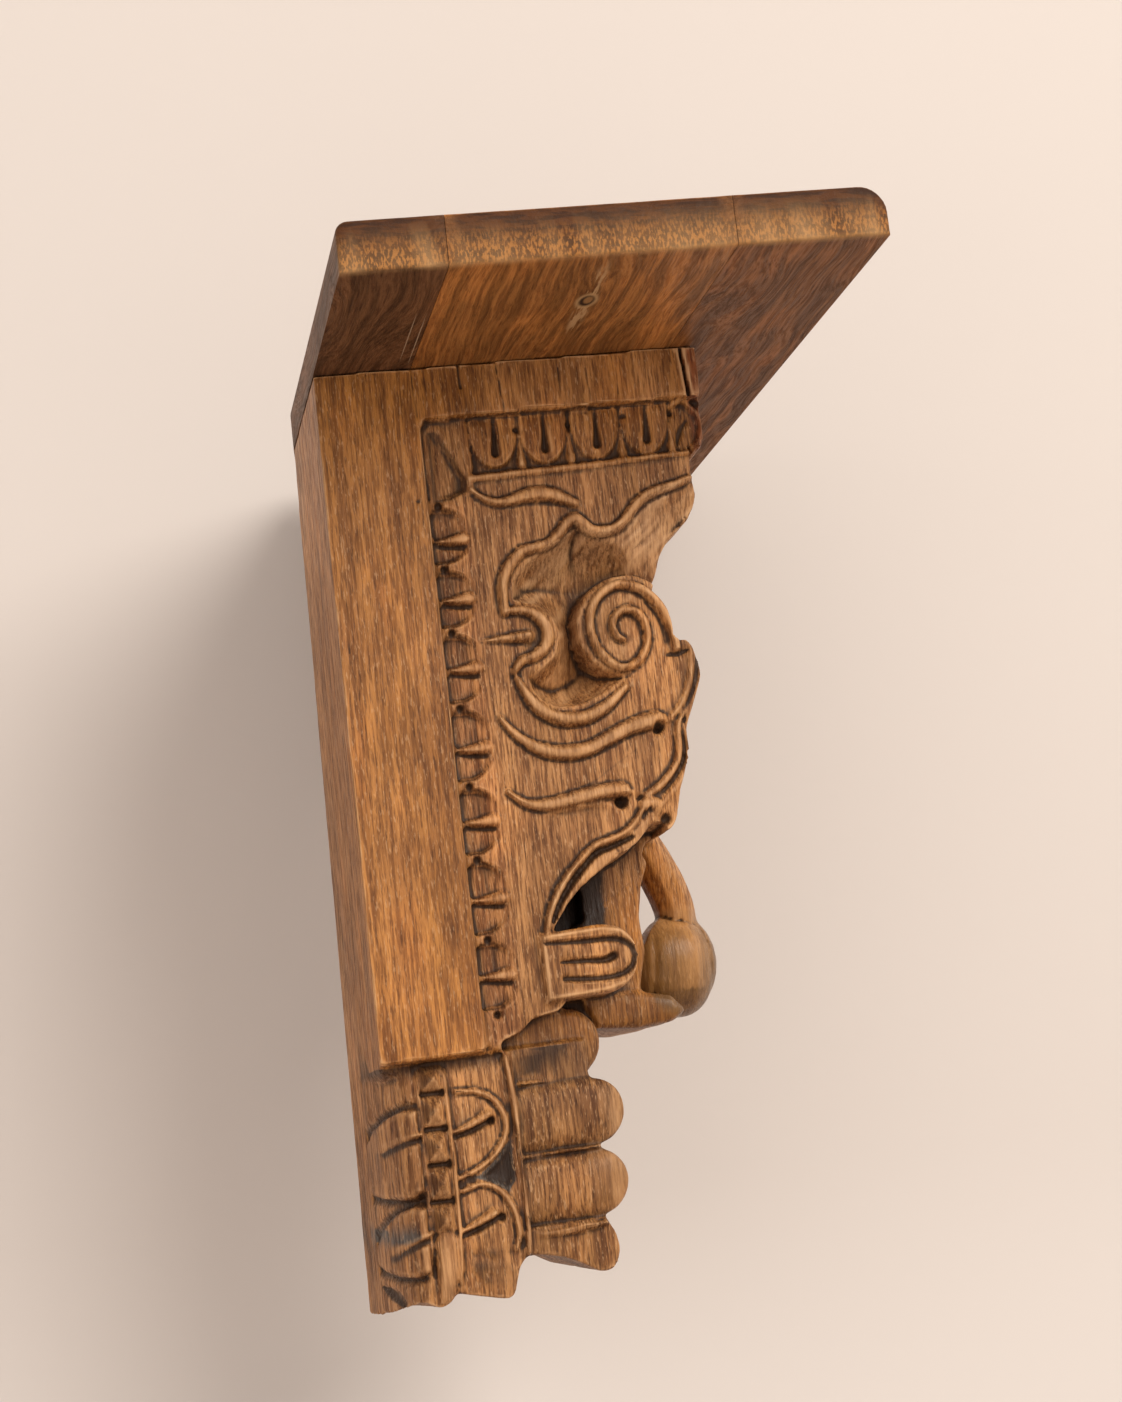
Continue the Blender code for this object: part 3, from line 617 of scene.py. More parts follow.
def draw_top_border(relief):
    """Round tongues below the band, each with a drop in it, drilled dots and a fillet."""
    bed = [(78, -30), (206, -28), (206, -59.5), (78, -61.5)]
    spot, signed = relief.edge_distance(bed)
    relief.height[spot] -= 3.4 * soft_step(signed, -0.2, 1.2)
    # Dirt and painted shade over the sunk bed below the band.
    relief.darken(spot, soft_step(signed, 0, 1) * 0.3)
    for x in TONGUE_X:
        outline = [(x - TONGUE_HALF, -31)]
        for index in range(13):
            angle = math.pi * (1 + index / 12)
            low = TONGUE_SPRING - (TONGUE_BOTTOM - TONGUE_SPRING) * math.sin(angle)
            outline.append((x + TONGUE_HALF * math.cos(angle), low))
        outline.append((x + TONGUE_HALF, -31))
        relief.plateau(outline, 4.4, 2.6, ground=-3.4)
        spot, signed = relief.edge_distance(outline)
        relief.dirt_and_shade[spot] = np.where(signed > 0.6, 0.0, relief.dirt_and_shade[spot])
        relief.height[spot] -= 1.1 * np.clip(1 - np.abs(signed - 2.6) / 1.1, 0, 1)
        # Dirt and painted shade in the ring groove of each tongue.
        relief.darken(spot, 0.3 * np.clip(1 - np.abs(signed - 2.6) / 0.9, 0, 1))
        relief.rub[spot] = np.maximum(relief.rub[spot], 0.6 * np.clip(1 - np.abs(signed - 1.1) / 1.0, 0, 1))
        relief.ridge([(x - 1.9, -33), (x - 2.2, -43), (x - 2.6, -48)], (0.7, 0.9, 0.5), 1.4, ground=0.2)
        relief.groove([(x + 0.6, -33), (x + 0.4, -43), (x, -51.0)], (0.9, 1.6, 2.7), 4.2)
    for dot in DOTS:
        relief.pit(dot, 2.2, 3.0)
    for x in TONGUE_X:
        relief.ridge([(x + 13.8, -42), (x + 13.9, -50), (x + 13.9, -58)], (0.4, 1.1, 2.2), 3.2, ground=-2.8)
    relief.groove([(192, -55), (195, -46), (199, -41)], (0.6, 2.2, 0.8), 2.6)
    relief.ridge(BORDER_CURL, (1.0, 1.4, 1.2), 2.4, ground=-1.4)
    relief.ridge(BORDER_FILLET, (1.9, 2.0, 1.8, 1.5), 2.2, moat=0.5)
    relief.ridge([(77.5, -34), (78, -50), (77.5, -63)], (0.8, 1.0, 1.4), 1.2)


def draw_leaf(relief):
    """The leaf round the hollow: a turned-up rim, sloping lobes, veins and the deep scoop."""
    rim = smooth_line(LEAF_RIM)
    spot = relief.window(rim, 60)
    away, _share, side = measure(relief.x[spot], relief.z[spot], rim)
    lobe = [(126, -92), *FRONT_PROFILE[1:8], (165, -140), (150, -128), (126, -118)]
    under_rim = (side < 0) & inside(relief.x[spot], relief.z[spot], lobe)
    relief.height[spot] -= np.where(under_rim, np.minimum(0.45 * away, 17), 0)
    spot, signed = relief.edge_distance(SCOOP)
    deep = HOLLOW_DEPTH - FIELD_DEPTH
    scoop = deep * (1 - np.exp(-np.clip(signed, 0, None) / 9.5))
    relief.height[spot] = np.where(signed > 0, np.minimum(relief.height[spot], -scoop), relief.height[spot])
    from_scroll = np.hypot(relief.x[spot] - SCROLL_MIDDLE[0], relief.z[spot] - SCROLL_MIDDLE[1])
    # Painted shade deep in the scoop, beside the scroll.
    relief.darken(spot, soft_step(scoop, 14, 26) * soft_step(-from_scroll, -44, -29) * 0.6)
    for vein in VEINS:
        line = smooth_line(vein)
        spot = relief.window(line, 4)
        away, share, _side = measure(relief.x[spot], relief.z[spot], line)
        body = np.clip(1 - (away / 3.0) ** 2, 0, 1) * np.sin(np.pi * np.clip(share + 0.15, 0, 1))
        relief.height[spot] += 1.5 * body
        relief.rub[spot] = np.maximum(relief.rub[spot], 0.7 * body)
    relief.ridge(LEAF_RIM, (2.2, 3.1, 2.6, 3.0, 2.6, 2.6, 1.9), 6.0, lean=0.15, moat=1.8)
    relief.ridge(HOOK_RIM, (2.0, 3.0, 3.3, 2.8, 1.8), 6.0, lean=-0.2, moat=1.8)
    relief.ridge(LOWER_RIM, (1.4, 3.2, 3.8, 3.4, 2.0), 6.2, lean=-0.15, moat=2.0)
    relief.ridge(LOWER_LEDGE, (1.0, 1.8, 1.2), 1.6, ground=-1.0)


def draw_scroll(relief):
    """The scroll: a sunk face with a spiral rim that winds in to its eye."""
    away = np.hypot(relief.x - SCROLL_MIDDLE[0], relief.z - SCROLL_MIDDLE[1])
    face = away < SCROLL_REACH
    relief.height = np.where(face, -0.4 - 1.6 * soft_step(away, 20, 3), relief.height)
    # The sunk face is made a little darker all over.
    relief.dirt_and_shade = np.where(face, 0.12, relief.dirt_and_shade)
    relief.rub = np.where(face, 0.0, relief.rub)
    relief.ridge(SCROLL_RIM, RIM_HALVES, 5.2, lean=-0.1, ground=-0.4, moat=1.6)
    relief.groove([(163, -139), (169.5, -149), (171.5, -162)], (0.7, 1.0, 0.7), 1.8)


def draw_horns(relief):
    """Horn-shaped ribs in the field, the spike, the front rims and the scored line."""
    relief.ridge(HORN_TOP, (1.1, 1.9, 2.8, 3.9, 3.7, 2.2), 5.8, lean=-0.4, moat=1.8)
    relief.ridge(HORN_MIDDLE, (1.2, 2.3, 3.6, 3.9, 3.6, 3.9, 4.8), 6.4, lean=-0.4, moat=2.0)
    relief.ridge(HORN_LOW, (1.2, 2.2, 3.5, 3.8, 3.9, 4.0), 6.0, lean=-0.4, moat=1.8)
    relief.ridge(HORN_LOW_EDGE, (0.7, 1.5, 1.0), 1.6)
    relief.pit((162, -206.5), 4.0, 7.5)
    relief.ridge([(156, -201), (163, -200), (167, -204)], (1.6, 1.8, 1.0), 5.0)
    relief.pit((138, -243), 4.6, 6.5)
    relief.ridge([(132, -235.5), (139.5, -235.8), (143.5, -239)], (1.4, 1.7, 0.8), 4.4)
    relief.ridge(SPIKE, (0.4, 1.8, 3.2), 5.2, lean=0.4, moat=1.0)
    relief.ridge(FRONT_LEAF, (1.0, 1.8, 1.4), 2.6)
    relief.groove([(188, -166), (187, -176), (184, -187), (179, -196)], (1.0, 1.8, 1.2), 2.2)
    relief.pit((175, -203), 3.6, 4.6)
    relief.ridge(FRONT_RIM, (1.3, 1.9, 2.2, 1.8), 3.6, lean=0.2, moat=1.2)
    relief.ridge(FRONT_EDGE, (1.2, 1.7, 1.4), 2.2)
    relief.groove([(174.5, -210), (174.2, -222), (169.5, -231), (161, -240)], (1.2, 1.8, 1.2), 2.4)
    relief.pit((148.5, -243.5), 3.4, 5.0)
    relief.ridge([(150, -246), (154.5, -245.8)], (3.8, 3.4), 4.6)
    relief.pit((160.5, -254.5), 3.6, 4.6)
    relief.groove(FIELD_LINE, (0.6, 0.7, 0.5), 0.9)
    relief.ridge([(x, z - 1.4) for x, z in FIELD_LINE], (0.4, 0.8, 0.4), 0.7)
    relief.groove([(172, -168.5), (178, -168.5), (183, -167)], (1.2, 1.6, 0.8), 3.0)


def draw_tongue(relief):
    """The crescent leaf's groove, and the rim, bed and slot of the tongue below it."""
    spot, signed = relief.edge_distance(CRESCENT)
    fall = 4.0 * np.clip(1 - signed / 7.0, 0, 1) ** 2
    relief.height[spot] = np.where(signed > 0, 3.0 - fall, relief.height[spot])
    relief.rub[spot] = np.where(signed > 0, 0.55 * soft_step(signed, 0.5, 4), relief.rub[spot])
    relief.groove(CRESCENT_GROOVE, (1.4, 2.2, 2.5, 2.2, 1.4), 4.6)
    relief.ridge(CRESCENT_RIM, (1.4, 1.8, 1.9, 1.9, 1.5), 6.0, lean=-0.2, moat=1.8)
    relief.groove([(131, -263), (133, -271)], (0.6, 0.6), 1.6)
    spot, signed = relief.edge_distance(TONGUE_OUTLINE)
    relief.height[spot] = np.where(signed > -0.5, 4.2 * soft_step(signed, -0.8, 2.0), relief.height[spot])
    relief.rub[spot] = np.maximum(relief.rub[spot], np.clip(1 - np.abs(signed - 2.6) / 2.0, 0, 1))
    spot, signed = relief.edge_distance(TONGUE_GROOVE)
    relief.height[spot] -= 1.6 * soft_step(signed, -0.3, 1.5)
    relief.groove(TONGUE_GROOVE, (0.9, 1.6, 1.8, 1.8, 1.5), 4.2)
    relief.groove(TONGUE_SLOT, (0.9, 1.3, 1.6, 2.7), 5.0)


def draw_marks():
    """Cracks, nails and worn places on the plain frame."""
    relief = Relief()
    for line, half, deep in BAND_CRACKS + PLANK_CRACKS:
        relief.groove(line, (half, half), deep)
    relief.groove([(188, 0), (188, -6.5), (190.5, -6.5), (190.5, 0)], (0.4, 0.4), 0.8)
    relief.pit((77, -2.2), 1.0, -0.7)
    relief.pit((82, -20), 0.8, -0.4)
    relief.pit((48.5, -73), 1.6, 1.0)
    relief.ridge([(54, -31.6), (100, -29.6), (150, -28.6), (198, -26.2)], (0.8, 0.9, 0.8), 0.5)
    relief.ridge([(53.2, -34), (53.6, -200), (54.2, -356)], (0.7, 0.8, 0.7), 0.4)
    relief.height += 0.12 * upright_strokes(relief, 2.0, 45, 11)
    return relief


def draw_foot():
    """The foot's near face: petals to the wall and to the front, a column of pyramids and a rough patch."""
    relief = Relief()
    x, z = relief.x, relief.z
    for petal in WALL_PETALS:
        relief.plateau(petal, 8.0, 5.0, ground=-1.5, moat=3.5)
        spot, signed = relief.edge_distance(petal)
        # Dirt and painted shade round each petal's foot.
        relief.darken(spot, 0.75 * soft_step(signed, -5.0, -0.5) * (signed < 0.6))
        crest = 0.55 * np.clip(1 - np.abs(signed - 2.4) / 1.6, 0, 1)
        relief.rub[spot] = np.maximum(relief.rub[spot], crest)
    relief.ridge(FRONT_ARCH_UPPER, (1.2, 1.5, 1.5, 1.2), 3.0, moat=2.0)
    relief.ridge(FRONT_ARCH_LOWER, (1.2, 1.5, 1.5, 1.2), 3.0, moat=2.0)
    spot, signed = relief.edge_distance(FOOT_HOLLOW)
    relief.height[spot] -= 4.5 * soft_step(signed, -0.5, 4.0)
    # Dirt and painted shade in the foot's hollow.
    relief.darken(spot, 0.8 * soft_step(signed, 0, 3.0))
    for rib, ground in PETAL_RIBS:
        relief.groove([(px, pz - 2.8) for px, pz in rib], (1.2, 2.6, 3.0), 3.6)
        relief.ridge(rib, (1.0, 1.7, 2.4), 4.2, lean=-0.45, ground=ground)
    for spot_at in PETAL_PITS:
        relief.pit(spot_at, 3.0, 4.0)
    for top, low in zip(PYRAMID_BREAKS, PYRAMID_BREAKS[1:]):
        across = np.abs(x - PYRAMID_X) / PYRAMID_HALF
        along = np.abs(z - (top + low) / 2) / ((top - low) / 2)
        block = np.clip(1 - np.maximum(across, along), 0, 1)
        on_block = np.maximum(across, along) < 1
        relief.height = np.where(on_block, -1.0 + 11.0 * block, relief.height)
        # Painted light by facet: the lower facets get a painted highlight, the upper and wall-side facets
        # painted shade, and each pyramid's foot is darkened.
        lower_facet = (z < (top + low) / 2) & (along > across)
        upper_facet = (z > (top + low) / 2) & (along > across)
        wall_facet = (x < PYRAMID_X) & (along <= across)
        facet_wear_and_highlight = np.where(lower_facet, 0.75, 0.1 + 0.6 * soft_step(block, 0.7, 0.95))
        relief.rub = np.where(on_block, facet_wear_and_highlight, relief.rub)
        shade = np.where(upper_facet, 0.32, np.where(wall_facet, 0.5, 0.1))
        at_foot = soft_step(-block, -0.16, -0.02) * 0.85
        facet_dirt_and_shade = np.maximum(at_foot, np.where(lower_facet, 0.0, shade))
        relief.dirt_and_shade = np.where(on_block, facet_dirt_and_shade, relief.dirt_and_shade)
    for spot_z in PYRAMID_BREAKS[1:]:
        relief.groove([(PYRAMID_X - 6.5, spot_z + 0.6), (PYRAMID_X + 5.5, spot_z)], (1.5, 1.3), 3.0)
    relief.ridge([(24, -450), (24, -462), (21.5, -475)], (6.5, 6.2, 4.2), 4.0)
    relief.ridge(PYRAMID_RIM, (1.0, 1.3, 1.3, 1.2, 0.8), 4.4, moat=1.2)
    relief.ridge([(17.2, -366), (17.2, -420), (16.4, -450), (13, -474)], (0.7, 0.9, 0.7), 2.2)
    relief.ridge(FOOT_RIDGE, (1.4, 1.8, 1.4), 3.6, moat=1.4)
    relief.groove([(-9, -466), (-4, -471), (0, -476)], (1.0, 3.0, 1.5), 3.0)
    relief.pit((14, -426), 3.0, 4.0)
    # Painted shade in the hollow above the rolls.
    spot, signed = relief.edge_distance(ROLL_HOLLOW)
    relief.darken(spot, soft_step(signed, -1, 4) * 0.85)
    # Painted shadow under the plank's end, across the top of the foot; the ground there is also sunk.
    shade = soft_step(z, -372, -362) * (x < 62)
    relief.dirt_and_shade = np.maximum(relief.dirt_and_shade, 0.75 * shade)
    relief.height -= 2.4 * shade
    rough = soft_step(z, -478, -470) * soft_step(-z, 452, 458)
    rough = rough * soft_step(x, 33, 37) * soft_step(-x, -59, -56)
    chips = lattice_noise(np.stack([(x + z).ravel() / 4.0, (z - x).ravel() / 9.0], 1), 15).reshape(x.shape)
    relief.height += rough * 1.3 * chips
    relief.dirt_and_shade = np.maximum(relief.dirt_and_shade, rough * (0.35 + 0.35 * chips))
    draw_rolls(relief)
    relief.height += 0.25 * upright_strokes(relief, 1.5, 22, 13)
    return relief


def draw_rolls(relief):
    """The rolls in front of the foot: cushions with rounded long sides and rounded ends."""
    x, z = relief.x, relief.z
    for top, low, end in ROLLS:
        along = (z - (top + low) / 2) / ((top - low) / 2)
        on_roll = (np.abs(along) < 1) & (x > 66)
        cushion = ROLL_LEVEL - 6.5 * np.abs(along) ** 3.2 - 5.0 * np.clip((x - end + 16) / 16, 0, 1) ** 2
        cushion += 1.3 * soft_step(x, end - 27, end - 20) * soft_step(-x, -end + 5, -end + 12)
        relief.height = np.where(on_roll, cushion, relief.height)
        # Painted shade along each roll's long edges, where it curves into the crease.
        relief.dirt_and_shade = np.where(on_roll, np.clip((np.abs(along) - 0.72) * 2.8, 0, 0.8), relief.dirt_and_shade)
        relief.rub = np.where(on_roll, soft_step(x, end - 20, end - 8) * 0.5, relief.rub)
    toe = (x > 66) & (z < ROLLS[-1][1])
    relief.height = np.where(toe, ROLL_LEVEL - 1.0 - 0.10 * np.clip(x - 66, 0, 50), relief.height)
    relief.dirt_and_shade = np.where(toe, 0.15, relief.dirt_and_shade)
    relief.ridge([(70, -452.5), (88, -453), (106, -452)], (1.0, 1.6, 1.0), 1.6, ground=ROLL_LEVEL - 1)


# Mesh helpers


def deselect_all():
    if bpy.context.mode != "OBJECT":
        bpy.ops.object.mode_set(mode="OBJECT")
    bpy.ops.object.select_all(action="DESELECT")


def make_active(piece):
    deselect_all()
    piece.select_set(True)
    bpy.context.view_layer.objects.active = piece


def copy_of_node(node, name):
    """A merged copy of a CAD node's mesh, as a new piece at the origin."""
    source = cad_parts[node]
    piece = bpy.data.objects.new(name, source.data.copy())
    bpy.context.scene.collection.objects.link(piece)
    piece.data.materials.clear()
    make_active(piece)
    bpy.ops.object.mode_set(mode="EDIT")
    bpy.ops.mesh.select_all(action="SELECT")
    bpy.ops.mesh.remove_doubles(threshold=1e-6)
    bpy.ops.mesh.normals_make_consistent(inside=False)
    bpy.ops.object.mode_set(mode="OBJECT")
    return piece


def remesh(piece, step):
    make_active(piece)
    modifier = piece.modifiers.new("Remesh", "REMESH")
    modifier.mode = "VOXEL"
    modifier.voxel_size = step
    modifier.adaptivity = 0.0
    bpy.ops.object.modifier_apply(modifier=modifier.name)


def relax(piece, factor, times):
    make_active(piece)
    modifier = piece.modifiers.new("Smooth", "SMOOTH")
    modifier.factor = factor
    modifier.iterations = times
    bpy.ops.object.modifier_apply(modifier=modifier.name)


def thin_out(piece, triangles):
    """Removes triangles where the surface is plain, down to the wanted number."""
    make_active(piece)
    present = sum(len(face.vertices) - 2 for face in piece.data.polygons)
    if present <= triangles:
        return
    modifier = piece.modifiers.new("Decimate", "DECIMATE")
    modifier.ratio = triangles / present
    bpy.ops.object.modifier_apply(modifier=modifier.name)


def points_of(piece):
    flat = np.empty(len(piece.data.vertices) * 3)
    piece.data.vertices.foreach_get("co", flat)
    return flat.reshape(-1, 3)


def normals_of(piece):
    flat = np.empty(len(piece.data.vertices) * 3)
    piece.data.vertices.foreach_get("normal", flat)
    return flat.reshape(-1, 3)


def set_points(piece, points):
    piece.data.vertices.foreach_set("co", points.ravel())
    piece.data.update()


def averaged(piece, values, times):
    """Each vertex's value averaged with its neighbours', so many times."""
    flat = np.empty(len(piece.data.edges) * 2, np.int32)
    piece.data.edges.foreach_get("vertices", flat)
    pairs = flat.reshape(-1, 2)
    count = len(piece.data.vertices)
    number = np.bincount(pairs.ravel(), minlength=count) + 1.0
    for _round in range(times):
        total = values.copy()
        for column in range(values.shape[1]):
            total[:, column] += np.bincount(pairs[:, 0], values[pairs[:, 1], column], count)
            total[:, column] += np.bincount(pairs[:, 1], values[pairs[:, 0], column], count)
        values = total / number[:, None]
    return values


def hollow_share(piece, times, scale):
    """How far each vertex lies in a hollow, in shares of the scale. It is negative on ridges."""
    points = points_of(piece)
    drawn_in = averaged(piece, points, times) - points
    return (drawn_in * normals_of(piece)).sum(1) / scale


def store(piece, name, values):
    """Keeps a number for each vertex, for the material to read."""
    layer = piece.data.attributes.new(name, "FLOAT", "POINT")
    layer.data.foreach_set("value", values.astype(np.float32))


def store_colour(piece, name, values):
    layer = piece.data.color_attributes.new(name, "FLOAT_COLOR", "POINT")
    full = np.concatenate([values, np.ones((len(values), 1))], 1)
    layer.data.foreach_set("color", full.astype(np.float32).ravel())


def smooth_shaded(piece, angle):
    make_active(piece)
    bpy.ops.object.shade_smooth_by_angle(angle=angle)


# Places on the corbel


def corbel_places(points):
    """Out from the wall, depth behind the near face and height, in the corbel's millimetres."""
    x = points[:, 0] / TO_METRES
    z = points[:, 2] / TO_METRES - TOP_ABOVE_ORIGIN - RISE_TO_FRONT * x
    depth = points[:, 1] / TO_METRES + HALF_THICKNESS
    return x, depth, z


def as_seen(x, z, depth):
    """Where a point at that depth shows on the near face."""
    share = depth / (VIEW_DISTANCE + depth)
    return x - (x - VIEW_X) * share, z - (z - VIEW_Z) * share


def panel_outline():
    return [(PLANK_WIDTH + 0.5, -30), (210, -28), (210, -60), *[(x + 2.5, z) for x, z in FRONT_PROFILE],
            *[(x + 1.5, z - 1.5) for x, z in PANEL_FOOT[:3]], (140, -306), (141, -322), (138, -342),
            *[(x, z - 2) for x, z in PANEL_FOOT[4:]]]


def on_panel(x, z):
    """True for the points of the near face that lie on the carved panel."""
    return inside(x, z, panel_outline()) & (x > PLANK_WIDTH + 0.5) & (z < -BAND_HEIGHT + 0.5)


def carve_panel(piece, panel):
    """Moves the near face of the carved block to the drawn relief."""
    points = points_of(piece)
    normals = normals_of(piece)
    x, depth, z = corbel_places(points)
    seen_x, seen_z = as_seen(x, z, FIELD_DEPTH)
    here = on_panel(seen_x, seen_z)
    drawn = FIELD_DEPTH - panel.sample(panel.height, seen_x, seen_z)
    upper = here & (seen_z > LEAF_END) & (depth < SOLID_BEHIND)
    free = ~inside(seen_x, seen_z, CRESCENT) & ~inside(seen_x, seen_z, TONGUE_OUTLINE)
    near_floor = (normals[:, 1] < -0.25) & (depth < 18)
    near_wall = (depth < drawn) & (depth < 30)
    lower = here & (seen_z <= LEAF_END) & (near_floor | near_wall) & ~(free & (depth > 13))
    depth = np.where(upper | lower, drawn, depth)
    trimmed = inside(seen_x, seen_z, [*CRESCENT_INNER, (160, -257), (160, -275), (122, -296), (100, -309)])
    trimmed &= ~inside(seen_x, seen_z, TONGUE_OUTLINE) & (normals[:, 1] < 0.3) & (depth < NECK_DEPTH - 1)
    depth = np.where(trimmed, np.where(seen_x < PIT_RIGHT - 3, PIT_DEPTH, NECK_DEPTH), depth)
    points[:, 1] = (depth - HALF_THICKNESS) * TO_METRES
    set_points(piece, points)


def carve_foot(piece, foot):
    """Moves the near faces of the foot and its rolls to the drawn relief."""
    points = points_of(piece)
    normals = normals_of(piece)
    x, depth, z = corbel_places(points)
    seen_x, seen_z = as_seen(x, z, FOOT_DEPTH)
    low = (z < -PLANK_LENGTH - 1) & (depth < 24) & ~inside(seen_x, seen_z, panel_outline())
    rolls = (seen_x > FOOT_EDGE_X + 5) & (seen_z < ROLLS[0][0]) & (normals[:, 1] < -0.15)
    here = low & ((seen_x < FOOT_EDGE_X + 5) & (seen_x > -20) & (x < FOOT_EDGE_X + 7) | rolls)
    here &= (x < FOOT_EDGE_X) | (normals[:, 1] < -0.15)
    here &= x > ROUND_WIDTH
    depth = np.where(here, FOOT_DEPTH - foot.sample(foot.height, seen_x, seen_z), depth)
    points[:, 1] = (depth - HALF_THICKNESS) * TO_METRES
    set_points(piece, points)
    round_wall_side(piece, foot)


def round_wall_side(piece, foot):
    """Rounds the foot off towards the wall, and wraps the petals round it."""
    points = points_of(piece)
    x, depth, z = corbel_places(points)
    across = (ROUND_WIDTH - x) / ROUND_WIDTH
    behind = (ROUND_DEPTH - depth) / (ROUND_DEPTH - FOOT_DEPTH)
    reach = np.maximum(np.hypot(across, behind), 1e-6)
    fade = soft_step(-z, PLANK_LENGTH + 1, PLANK_LENGTH + 9)
    here = (across >= 0) & (behind > 0) & (reach > 0.9) & (z < -PLANK_LENGTH - 1)
    shrink = 1 + (1 / reach - 1) * fade
    round_x = ROUND_WIDTH - across * shrink * ROUND_WIDTH
    round_depth = ROUND_DEPTH - behind * shrink * (ROUND_DEPTH - FOOT_DEPTH)
    seen_x, seen_z = as_seen(round_x, z, round_depth)
    raised = foot.sample(foot.height, seen_x, seen_z) * fade
    out_x = -across / ROUND_WIDTH
    out_depth = -behind / (ROUND_DEPTH - FOOT_DEPTH)
    length = np.maximum(np.hypot(out_x, out_depth), 1e-6)
    moved_x = np.maximum(round_x + out_x / length * np.minimum(raised, 3.0), 0.0)
    moved_depth = round_depth + out_depth / length * raised
    points[:, 0] = np.where(here, moved_x * TO_METRES, points[:, 0])
    points[:, 1] = np.where(here, (moved_depth - HALF_THICKNESS) * TO_METRES, points[:, 1])
    points[:, 2] += np.where(here, RISE_TO_FRONT * (moved_x - x) * TO_METRES, 0)
    set_points(piece, points)


def swell_bud(piece):
    """Fills the bud out towards the neck, as one rounded block with grooves down it."""
    points = points_of(piece)
    normals = normals_of(piece)
    x, depth, z = corbel_places(points)
    middle = HALF_THICKNESS + THICKNESS_GAIN * -z / 2
    across = (x - BUD_MIDDLE[0]) / BUD_HALF[0]
    along = (z - BUD_MIDDLE[1]) / BUD_HALF[1]
    left = 1 - np.abs(across) ** 2.5 - np.abs(along) ** 2.3
    wanted = middle - BUD_HALF[2] * np.clip(left, 0, 1) ** 0.5
    for groove_x, lean in BUD_GROOVES:
        off = np.abs(x - groove_x - lean * (z - BUD_MIDDLE[1]))
        wanted += 1.5 * np.clip(1 - off / 2.0, 0, 1)
    here = (left > 0) & (normals[:, 1] < 0.1) & (depth > 30) & (depth < middle)
    here &= x > BUD_MIDDLE[0] - BUD_HALF[0]
    depth = np.where(here & (depth > wanted - 3), wanted, depth)
    points[:, 1] = (depth - HALF_THICKNESS) * TO_METRES
    set_points(piece, points)


def mark_frame(piece, marks):
    """Cuts the cracks into the plain faces that look to the near side."""
    points = points_of(piece)
    normals = normals_of(piece)
    x, depth, z = corbel_places(points)
    panel = inside(x, z, panel_outline())
    weight = soft_step(-normals[:, 1], 0.3, 0.7) * ~panel * (depth < 5) * (z > -PLANK_LENGTH)
    points[:, 1] -= marks.sample(marks.height, x, z) * weight * TO_METRES
    set_points(piece, points)


def wear(piece, amount):
    """Rubs the arrises back unevenly and gives flat faces the slight waves of hand work."""
    points = points_of(piece)
    normals = normals_of(piece)
    crest = np.clip(-hollow_share(piece, 6, 0.0003), 0, 1.5)
    rub = 0.45 + 0.55 * lattice_noise(points / 0.011, 21)
    waves = lattice_noise(points / np.array([0.018, 0.018, 0.06]), 22) * 0.00022
    waves += lattice_noise(points / np.array([0.004, 0.004, 0.012]), 23) * 0.00009
    crest *= points[:, 2] - RISE_TO_FRONT * points[:, 0] < (TOP_ABOVE_ORIGIN - 2.0) * TO_METRES
    points += normals * (waves - amount * crest * np.clip(rub, 0, 1))[:, None]
    set_points(piece, points)


def limit_to_box(piece, node):
    """Keeps the piece inside the box of the solid that it stands for."""
    low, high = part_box(node)
    set_points(piece, np.clip(points_of(piece), np.array(low), np.array(high)))


# Materials

KNOT_AT = (0.1312, -0.1469, 0.2446)
GLUE_LINES = (((0.0497, -0.107, 0.2417), 0.044), ((0.0446, -0.112, 0.2416), 0.042))
LEAF_LEAN = (0.65, 0.76)
RED_SLIP = (0.26, 0.085, 0.03)
OLD_GREY = (0.13, 0.11, 0.095)
SCRAPED = (0.46, 0.27, 0.12)
END_BROWN = (0.074, 0.024, 0.006)
END_DARK = (0.036, 0.013, 0.005)
END_GOLDEN = (0.31, 0.122, 0.027)


def new_material(name):
    material = bpy.data.materials.new(name)
    material.use_nodes = True
    return material, material.node_tree, material.node_tree.nodes["Principled BSDF"]


def add_node(tree, kind, **values):
    made = tree.nodes.new(kind)
    for name, value in values.items():
        setattr(made, name, value)
    return made


def grain_noise(tree, coordinate, scale, detail, offset=(0, 0, 0)):
    """Noise stretched along the grain by its scale on each axis."""
    mapping = add_node(tree, "ShaderNodeMapping")
    mapping.inputs["Scale"].default_value = scale
    mapping.inputs["Location"].default_value = offset
    tree.links.new(coordinate, mapping.inputs["Vector"])
    noise = add_node(tree, "ShaderNodeTexNoise")
    noise.inputs["Scale"].default_value = 1.0
    noise.inputs["Detail"].default_value = detail
    noise.inputs["Roughness"].default_value = 0.6
    tree.links.new(mapping.outputs["Vector"], noise.inputs["Vector"])
    return noise.outputs["Fac"]


def stretch(tree, value, low, high, to_low=0.0, to_high=1.0):
    node = add_node(tree, "ShaderNodeMapRange", interpolation_type="SMOOTHSTEP")
    node.inputs["From Min"].default_value = low
    node.inputs["From Max"].default_value = high
    node.inputs["To Min"].default_value = to_low
    node.inputs["To Max"].default_value = to_high
    tree.links.new(value, node.inputs["Value"])
    return node.outputs["Result"]


def blend_colour(tree, share, first, second, kind="MIX"):
    node = add_node(tree, "ShaderNodeMix", data_type="RGBA", blend_type=kind)
    for value, socket in ((share, "Factor"), (first, "A"), (second, "B")):
        fill(tree, value, node.inputs[socket])
    return node.outputs["Result"]


